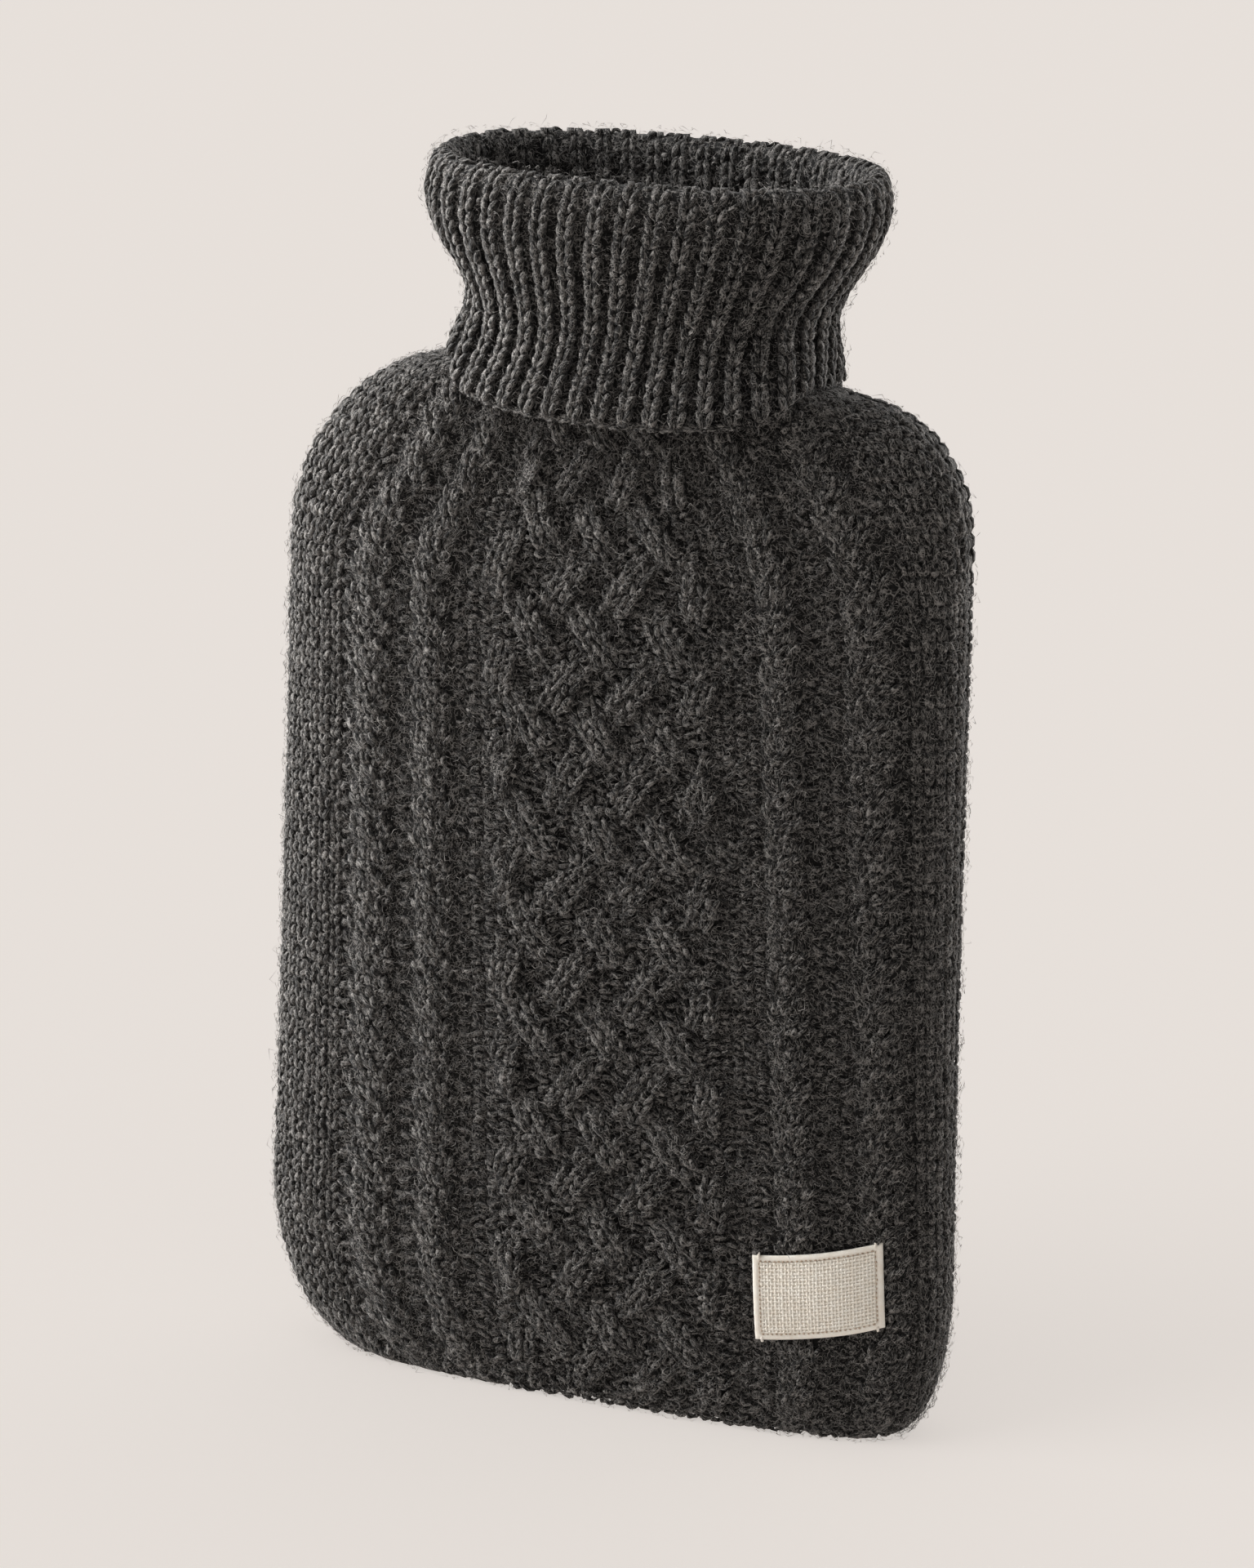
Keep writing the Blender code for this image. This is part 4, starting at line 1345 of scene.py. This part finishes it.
def panel_cloth(name, outside, inside, height, columns, rows):
    """The ground of a panel under its stitches, with its plain inner face."""
    u = np.linspace(-HALF_GIRTH, HALF_GIRTH, columns)
    v = np.concatenate([np.linspace(-HALF_DEPTH_BASE, 0, 9)[:-1], np.linspace(0, NECK_HEIGHT, rows)])
    uu, vv = np.meshgrid(u, v)
    edge = 1 - (np.abs(uu) / HALF_GIRTH) ** 60
    fade = relief_fade(vv)
    lift = (height(uu, vv) + 0.0001 * fade) * edge - SELVEDGE_DIP * (1 - edge) * fade
    outer, _ = outside.at(uu, vv, lift)
    inner, _ = inside.at(uu, vv, 0.0)
    outer[:, :, 2] = np.maximum(outer[:, :, 2], 0)
    return closed_sheet(name, outer, inner, False)


class COVER_OT_front(bpy.types.Operator):
    """Knit the cabled front panel"""
    bl_idname = "cover.front"
    bl_label = "Front panel"

    def execute(self, context):
        settings, colours, rng = start_piece(context, 11)
        wool = marled_wool("marled_wool_cable_knit", colours)
        surface = body_surface(1)
        press = label_press(surface)
        knit, purl = (split_by_column(s, FRONT_CUTS) for s in front_stitches(surface, settings))
        for name, knits, purls in zip(("left", "middle", "right"), knit, purl):
            batches = knit_legs(surface, knits, settings.yarn, rng, press=press)
            batches += purl_bumps(surface, purls, settings.yarn, rng, press)
            piece = build_mesh(f"front_knit_{name}", stay_above_floor(batches), rng)
            dress(piece, wool)
        knitting = fibre_height(relief, settings.yarn, rng)

        def height(u, v):
            place = surface.read(surface.places, u, v)
            return np.where(under_label(place, v, ROOT_MARGIN), -0.001, knitting(u, v))
        loose = loose_fibre_wool("loose_wool_front", colours)
        count = round(settings.fibres * FIBRE_SHARES["front_half"])
        for name, span in (("left", (-HALF_GIRTH, 0)), ("right", (0, HALF_GIRTH))):
            hairs = loose_fibres(surface, count, span, FUZZ_SPAN, height, settings.fibre_length, rng)
            fuzz = build_mesh(f"front_fuzz_{name}", stay_above_floor([keep_off_label(hairs)]), rng)
            dress(fuzz, loose)
        cloth = panel_cloth("front_cloth", surface, body_surface(1, WALL), self.ground(surface), 85, 99)
        dress(cloth, felted_ground_painted_shade("felted_wool_front_painted_shade", colours))
        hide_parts("front_panel")
        return {"FINISHED"}

    def ground(self, surface):
        """A function for the height of the ground: lower in the plait, and flat under the label."""
        def height(c, v):
            place = surface.read(surface.places, c, v)
            lift = relief(c, v) - 0.0005 * ((c > PLAIT_EDGES[0]) & (c < PLAIT_EDGES[1]))
            return np.where(under_label(place, v, GROUND_MARGIN), -0.0004, lift)
        return height


class COVER_OT_back(bpy.types.Operator):
    """Knit the plain back panel"""
    bl_idname = "cover.back"
    bl_label = "Back panel"

    def execute(self, context):
        settings, colours, rng = start_piece(context, 12)
        wool = marled_wool("marled_wool_plain_knit", colours)
        surface = body_surface(-1)
        rows = body_rows(settings.course)
        columns, width = wales_between(-HALF_GIRTH, HALF_GIRTH, settings.wale)
        stitches = plain_stitches(rows, columns, width, settings.course, plain_relief)
        stitches[:, 3] = real_width(surface, stitches[:, 0], stitches[:, 1], stitches[:, 3])
        for name, group in zip(("left", "right"), split_by_column(stitches, (0.0,))):
            batches = knit_legs(surface, group, settings.yarn, rng, SHORT_PROFILE, 3)
            piece = build_mesh(f"back_knit_{name}", stay_above_floor(batches), rng)
            dress(piece, wool)
        height = fibre_height(plain_relief, settings.yarn, rng)
        hairs = loose_fibres(surface, round(settings.fibres * FIBRE_SHARES["back"]),
                             (-HALF_GIRTH, HALF_GIRTH), FUZZ_SPAN, height, settings.fibre_length, rng)
        fuzz = build_mesh("back_fuzz", stay_above_floor([hairs]), rng)
        dress(fuzz, loose_fibre_wool("loose_wool_back", colours))
        cloth = panel_cloth("back_cloth", surface, body_surface(-1, WALL), self.ground, 49, 81)
        dress(cloth, felted_ground_painted_shade("felted_wool_back_painted_shade", colours))
        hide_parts("back_panel")
        return {"FINISHED"}

    def ground(self, c, v):
        """Height of the ground, a little behind the stitches."""
        return plain_relief(c, v) - 0.0006


class COVER_OT_collar(bpy.types.Operator):
    """Knit the folded ribbed collar"""
    bl_idname = "cover.collar"
    bl_label = "Ribbed collar"

    def execute(self, context):
        settings, colours, rng = start_piece(context, 13)
        surface = collar_surface(COLLAR_SEAT)
        knit, purl = collar_stitches(surface, settings)
        batches = collar_legs(surface, knit, settings.rib_yarn, rng)
        batches += collar_bumps(surface, purl, settings.rib_yarn, rng)
        batches += cast_off_edge(surface, settings.rib_yarn, rng)
        rib = build_mesh("collar_rib", batches, rng)
        dress(rib, marled_wool("marled_wool_rib_knit", colours))
        length = surface.length()

        def level(u, v):
            return rib_height(u, rib_level(v, length, RIB_VALLEY), rib_level(v, length, RIB_CREST))
        height = fibre_height(level, settings.rib_yarn, rng)
        hairs = loose_fibres(surface, round(settings.fibres * FIBRE_SHARES["collar"]), (0, 1),
                             (0.0, length * 0.95), height, settings.fibre_length, rng)
        fuzz = build_mesh("collar_fuzz", [hairs], rng)
        dress(fuzz, loose_fibre_wool("loose_wool_rib", colours))
        cloth = self.ground(surface, collar_surface(LAYER))
        dress(cloth, felted_ground_painted_shade("felted_wool_rib_painted_shade", colours))
        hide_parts("collar")
        return {"FINISHED"}

    def ground(self, outside, inside):
        """The rib's ground, close under the knit columns and deep between them, with its plain inner face."""
        u, share = np.meshgrid(np.arange(GROUND_RING) / GROUND_RING, np.linspace(0, 1, GROUND_RINGS))
        length = outside.length()
        v = share * length
        rim = 0.0009 * rim_share(v, length)
        valley = rib_level(v, length, RIB_VALLEY) - 0.0002 + rim
        crest = rib_level(v, length, RIB_CREST) - 0.0007 + rim
        outer, _ = outside.at(u, v, rib_height(u, valley, crest))
        inner, _ = inside.at(u, share * inside.length(), 0.0)
        return closed_sheet("collar_cloth", outer, inner, True)


class COVER_OT_label(bpy.types.Operator):
    """Weave the linen label and sew it on"""
    bl_idname = "cover.label"
    bl_label = "Linen label"

    def execute(self, context):
        settings, _, rng = start_piece(context, 14)
        table = label_surface()
        linen = plain_linen("plain_woven_linen", "#f4eadb", "#fffbf2")
        woven = build_mesh("label_weave", self.weave(table, settings.thread_pitch, rng), rng)
        dress(woven, linen)
        sewing = build_mesh("label_sewing", self.sewing(table, rng), rng)
        dress(sewing, plain_linen("tan_cotton_thread", "#8d7763", "#c5b19c", 900.0))
        knots = build_mesh("label_knots", self.knots(table, rng), rng)
        dress(knots, plain_linen("waxed_linen_thread", "#cdc1b1", "#fffaf2", 900.0))
        cloth = self.backing(table)
        dress(cloth, linen)
        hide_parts("label")
        return {"FINISHED"}

    def weave(self, table, pitch, rng):
        """Threads up and across, over and under each other, inside the folded edges."""
        half = (LABEL_WIDTH / 2 - LABEL_BAND, LABEL_HEIGHT / 2 - LABEL_FOLD)
        count = [round(2 * h / pitch) for h in half]
        batches = []
        for own, other in ((0, 1), (1, 0)):
            at = ((np.arange(count[own]) + 0.5) / count[own] * 2 - 1)[:, None] * half[own]
            at = at + 0.00007 * rng.normal(0, 1, at.shape)
            run = np.linspace(-half[other], half[other], 2 * count[other] + 1)[None]
            along, rise = (at, run) if own == 0 else (run, at)
            over = np.where(np.arange(count[own]) % 2 == own, 1, -1)[:, None]
            wave = np.cos(math.pi * (np.arange(2 * count[other] + 1) - 1) / 2)[None]
            lift = WEAVE_LEVEL + 0.00017 * over * wave + label_wave(along, rise)
            radius = THREAD_RADIUS * rng.normal(1, 0.10, count[own]).clip(0.75, 1.3)
            batches.append(lay_yarn(table, along, rise, lift, radius, np.ones(run.shape[1]), squash=0.6))
        return batches

    def sewing(self, table, rng):
        """Two upright rows of small stitches and two level ones, just inside the folded edges."""
        half_w = LABEL_WIDTH / 2 - LABEL_BAND
        half_h = LABEL_HEIGHT / 2 - LABEL_FOLD
        dash, step = DASH
        runs = []
        for side in (-1, 1):
            level = np.arange(-half_w, half_w - dash / 2, step)
            upright = np.arange(-half_h + step / 2, half_h - dash / 2, step)
            runs += [(a, side * half_h, dash, 0.0) for a in level]
            runs += [(side * half_w, b, 0.0, dash) for b in upright]
        runs = np.array(runs)
        t = np.linspace(0, 1, 5)[None]
        wobble = rng.normal(0, 0.00007, (len(runs), 2))
        along = runs[:, :1] + wobble[:, :1] + runs[:, 2:3] * t
        rise = runs[:, 1:2] + wobble[:, 1:] + runs[:, 3:4] * t
        lift = WEAVE_LEVEL + 0.00018 + 0.00022 * np.sin(math.pi * t) + label_wave(along, rise)
        radius = SEWING_RADIUS * rng.normal(1, 0.15, len(runs)).clip(0.6, 1.4)
        return [lay_yarn(table, along, rise, lift, radius, np.array([0, 1, 1, 1, 0]), 5)]

    def knots(self, table, rng):
        """Ends of the upright rows: thick stitches that lap over the label's top and bottom edges."""
        corners = np.array([(sx, sy) for sx in (-1, 1) for sy in (-1, 1)], float)
        profile = np.array([0, 0.9, 1, 1, 1, 0.9, 0])
        t = np.linspace(-1, 1, len(profile))[None]
        batches = []
        for turn, reach in ((1.45, 0.0013), (1.75, 0.0011), (1.10, 0.0006)):
            slant = reach * (1 + 0.1 * rng.normal(0, 1, (4, 1)))
            along = corners[:, :1] * (LABEL_WIDTH / 2 - LABEL_BAND) + slant * math.cos(turn) * t
            rise = corners[:, 1:] * (LABEL_HEIGHT / 2 - 0.0004) + slant * math.sin(turn) * t
            lift = WEAVE_LEVEL - 0.0002 + 0.0007 * np.cos(math.pi * t / 2)
            batches.append(lay_yarn(table, along, rise, lift, np.full(4, KNOT_RADIUS), profile, 6))
        return batches

    def backing(self, table):
        """The linen's own sheet: level under the weave, and raised where its edges are folded under."""
        half_w = LABEL_WIDTH / 2 - 0.0002
        half_h = LABEL_HEIGHT / 2 - 0.0002
        along = np.linspace(-half_w, half_w, 71)[None]
        rise = np.linspace(-half_h, half_h, 51)[:, None]
        fold = np.maximum(ease((np.abs(along) - (half_w - LABEL_BAND)) / 0.0005),
                          ease((np.abs(rise) - (half_h - LABEL_FOLD)) / 0.0005))
        edge = np.maximum(ease((np.abs(along) - half_w) / 0.0006 + 1),
                          ease((np.abs(rise) - half_h) / 0.0006 + 1))
        top = WEAVE_LEVEL - 0.0002 + 0.0005 * fold - 0.0003 * edge + label_wave(along, rise)
        outer, _ = table.at(along, rise, top)
        inner, _ = table.at(along, rise, LABEL_SEAT)
        return closed_sheet("label_linen", outer, inner, False)


class COVER_OT_stage(bpy.types.Operator):
    """Set the pale floor, the soft light and the camera"""
    bl_idname = "cover.stage"
    bl_label = "Stage, light and camera"

    def execute(self, context):
        self.floor()
        self.sun()
        for box in SOFT_BOXES:
            self.soft_box(*box)
        world = bpy.data.worlds.new("studio_air")
        world.use_nodes = True
        air = world.node_tree.nodes["Background"].inputs
        air["Color"].default_value = linear(AIR_COLOUR)
        air["Strength"].default_value = AIR_STRENGTH
        context.scene.world = world
        context.scene.view_settings.view_transform = "Standard"
        self.camera(context.scene)
        return {"FINISHED"}

    def floor(self):
        """A pale table top that reaches past the edges of the picture."""
        ends = (-TABLE_REACH, TABLE_REACH)
        points = np.array([(x, y, 0.0) for y in ends for x in ends])
        floor = add_piece("table_top", new_mesh("table_top", points, np.array([(0, 1, 3, 2)])))
        floor.data.materials.append(lit_table("opal_table_top", TABLE_COLOUR))
        return floor

    def lamp(self, name, kind, power, direction):
        """A lamp that shines against a direction."""
        data = bpy.data.lights.new(name, kind)
        data.energy = power
        light = bpy.data.objects.new(name, data)
        light.rotation_euler = direction.to_track_quat("Z", "Y").to_euler()
        bpy.context.scene.collection.objects.link(light)
        return light

    def sun(self):
        """A far, wide lamp: it gives the floor its even light and the faint shadow on the right."""
        light = self.lamp("far_lamp", "SUN", SUN_STRENGTH, Vector(SUN_PLACE))
        light.data.angle = math.radians(SUN_WIDTH)

    def soft_box(self, name, place, size, power):
        """A soft box turned to the cover and flagged off the table: it lights the cover alone."""
        light = self.lamp(name, "AREA", power, Vector(place) - Vector(BOX_AIM))
        light.data.shape = "RECTANGLE"
        light.data.size = size
        light.data.size_y = 1.4 * size
        light.location = place
        light.light_linking.receiver_collection = cover_collection()

    def camera(self, scene):
        """A long lens at the photograph's height and side, aimed a little off the cover's middle."""
        azimuth = math.radians(VIEW_AZIMUTH)
        elevation = math.radians(VIEW_ELEVATION)
        roll = math.radians(VIEW_ROLL)
        level = math.cos(elevation)
        back = Vector((math.sin(azimuth) * level, -math.cos(azimuth) * level, math.sin(elevation)))
        right = Vector((math.cos(azimuth), math.sin(azimuth), 0))
        up = back.cross(right)
        rolled = (right * math.cos(roll) + up * math.sin(roll), up * math.cos(roll) - right * math.sin(roll))
        data = bpy.data.cameras.new("camera")
        data.sensor_width = SENSOR
        data.lens = FOCAL_PIXELS * SENSOR / FRAME_HEIGHT
        data.shift_x = -AIM_OFFSET[0] / FRAME_HEIGHT
        data.shift_y = AIM_OFFSET[1] / FRAME_HEIGHT
        data.clip_start = NEAR_CLIP
        camera = bpy.data.objects.new("camera", data)
        turn = Matrix((rolled[0], rolled[1], back)).transposed()
        stand = VIEW_AIM - Vector(MIDDLE) + back * VIEW_DISTANCE
        camera.matrix_world = Matrix.Translation(stand) @ turn.to_4x4()
        scene.collection.objects.link(camera)
        scene.camera = camera


class COVER_PT_panel(bpy.types.Panel):
    """Sizes, colours and steps of the cover"""
    bl_idname = "COVER_PT_panel"
    bl_label = "Hot water bottle cover"
    bl_space_type = "VIEW_3D"
    bl_region_type = "UI"
    bl_category = "Cover"

    def draw(self, context):
        column = self.layout.column()
        for group in (context.scene.cover_settings, context.scene.cover_colours):
            for name in group.__annotations__:
                column.prop(group, name)
        for operator in STEPS:
            column.operator(operator.bl_idname)


STEPS = (COVER_OT_stage, COVER_OT_front, COVER_OT_back, COVER_OT_collar, COVER_OT_label)
CLASSES = (CoverSettings, CoverColours, *STEPS, COVER_PT_panel)


def register():
    for cls in CLASSES:
        bpy.utils.register_class(cls)
    bpy.types.Scene.cover_settings = PointerProperty(type=CoverSettings)
    bpy.types.Scene.cover_colours = PointerProperty(type=CoverColours)


def unregister():
    del bpy.types.Scene.cover_colours
    del bpy.types.Scene.cover_settings
    for cls in reversed(CLASSES):
        bpy.utils.unregister_class(cls)


def main():
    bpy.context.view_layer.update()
    register()
    bpy.ops.cover.stage()
    bpy.ops.cover.front()
    bpy.ops.cover.back()
    bpy.ops.cover.collar()
    bpy.ops.cover.label()


if __name__ == "__main__":
    main()
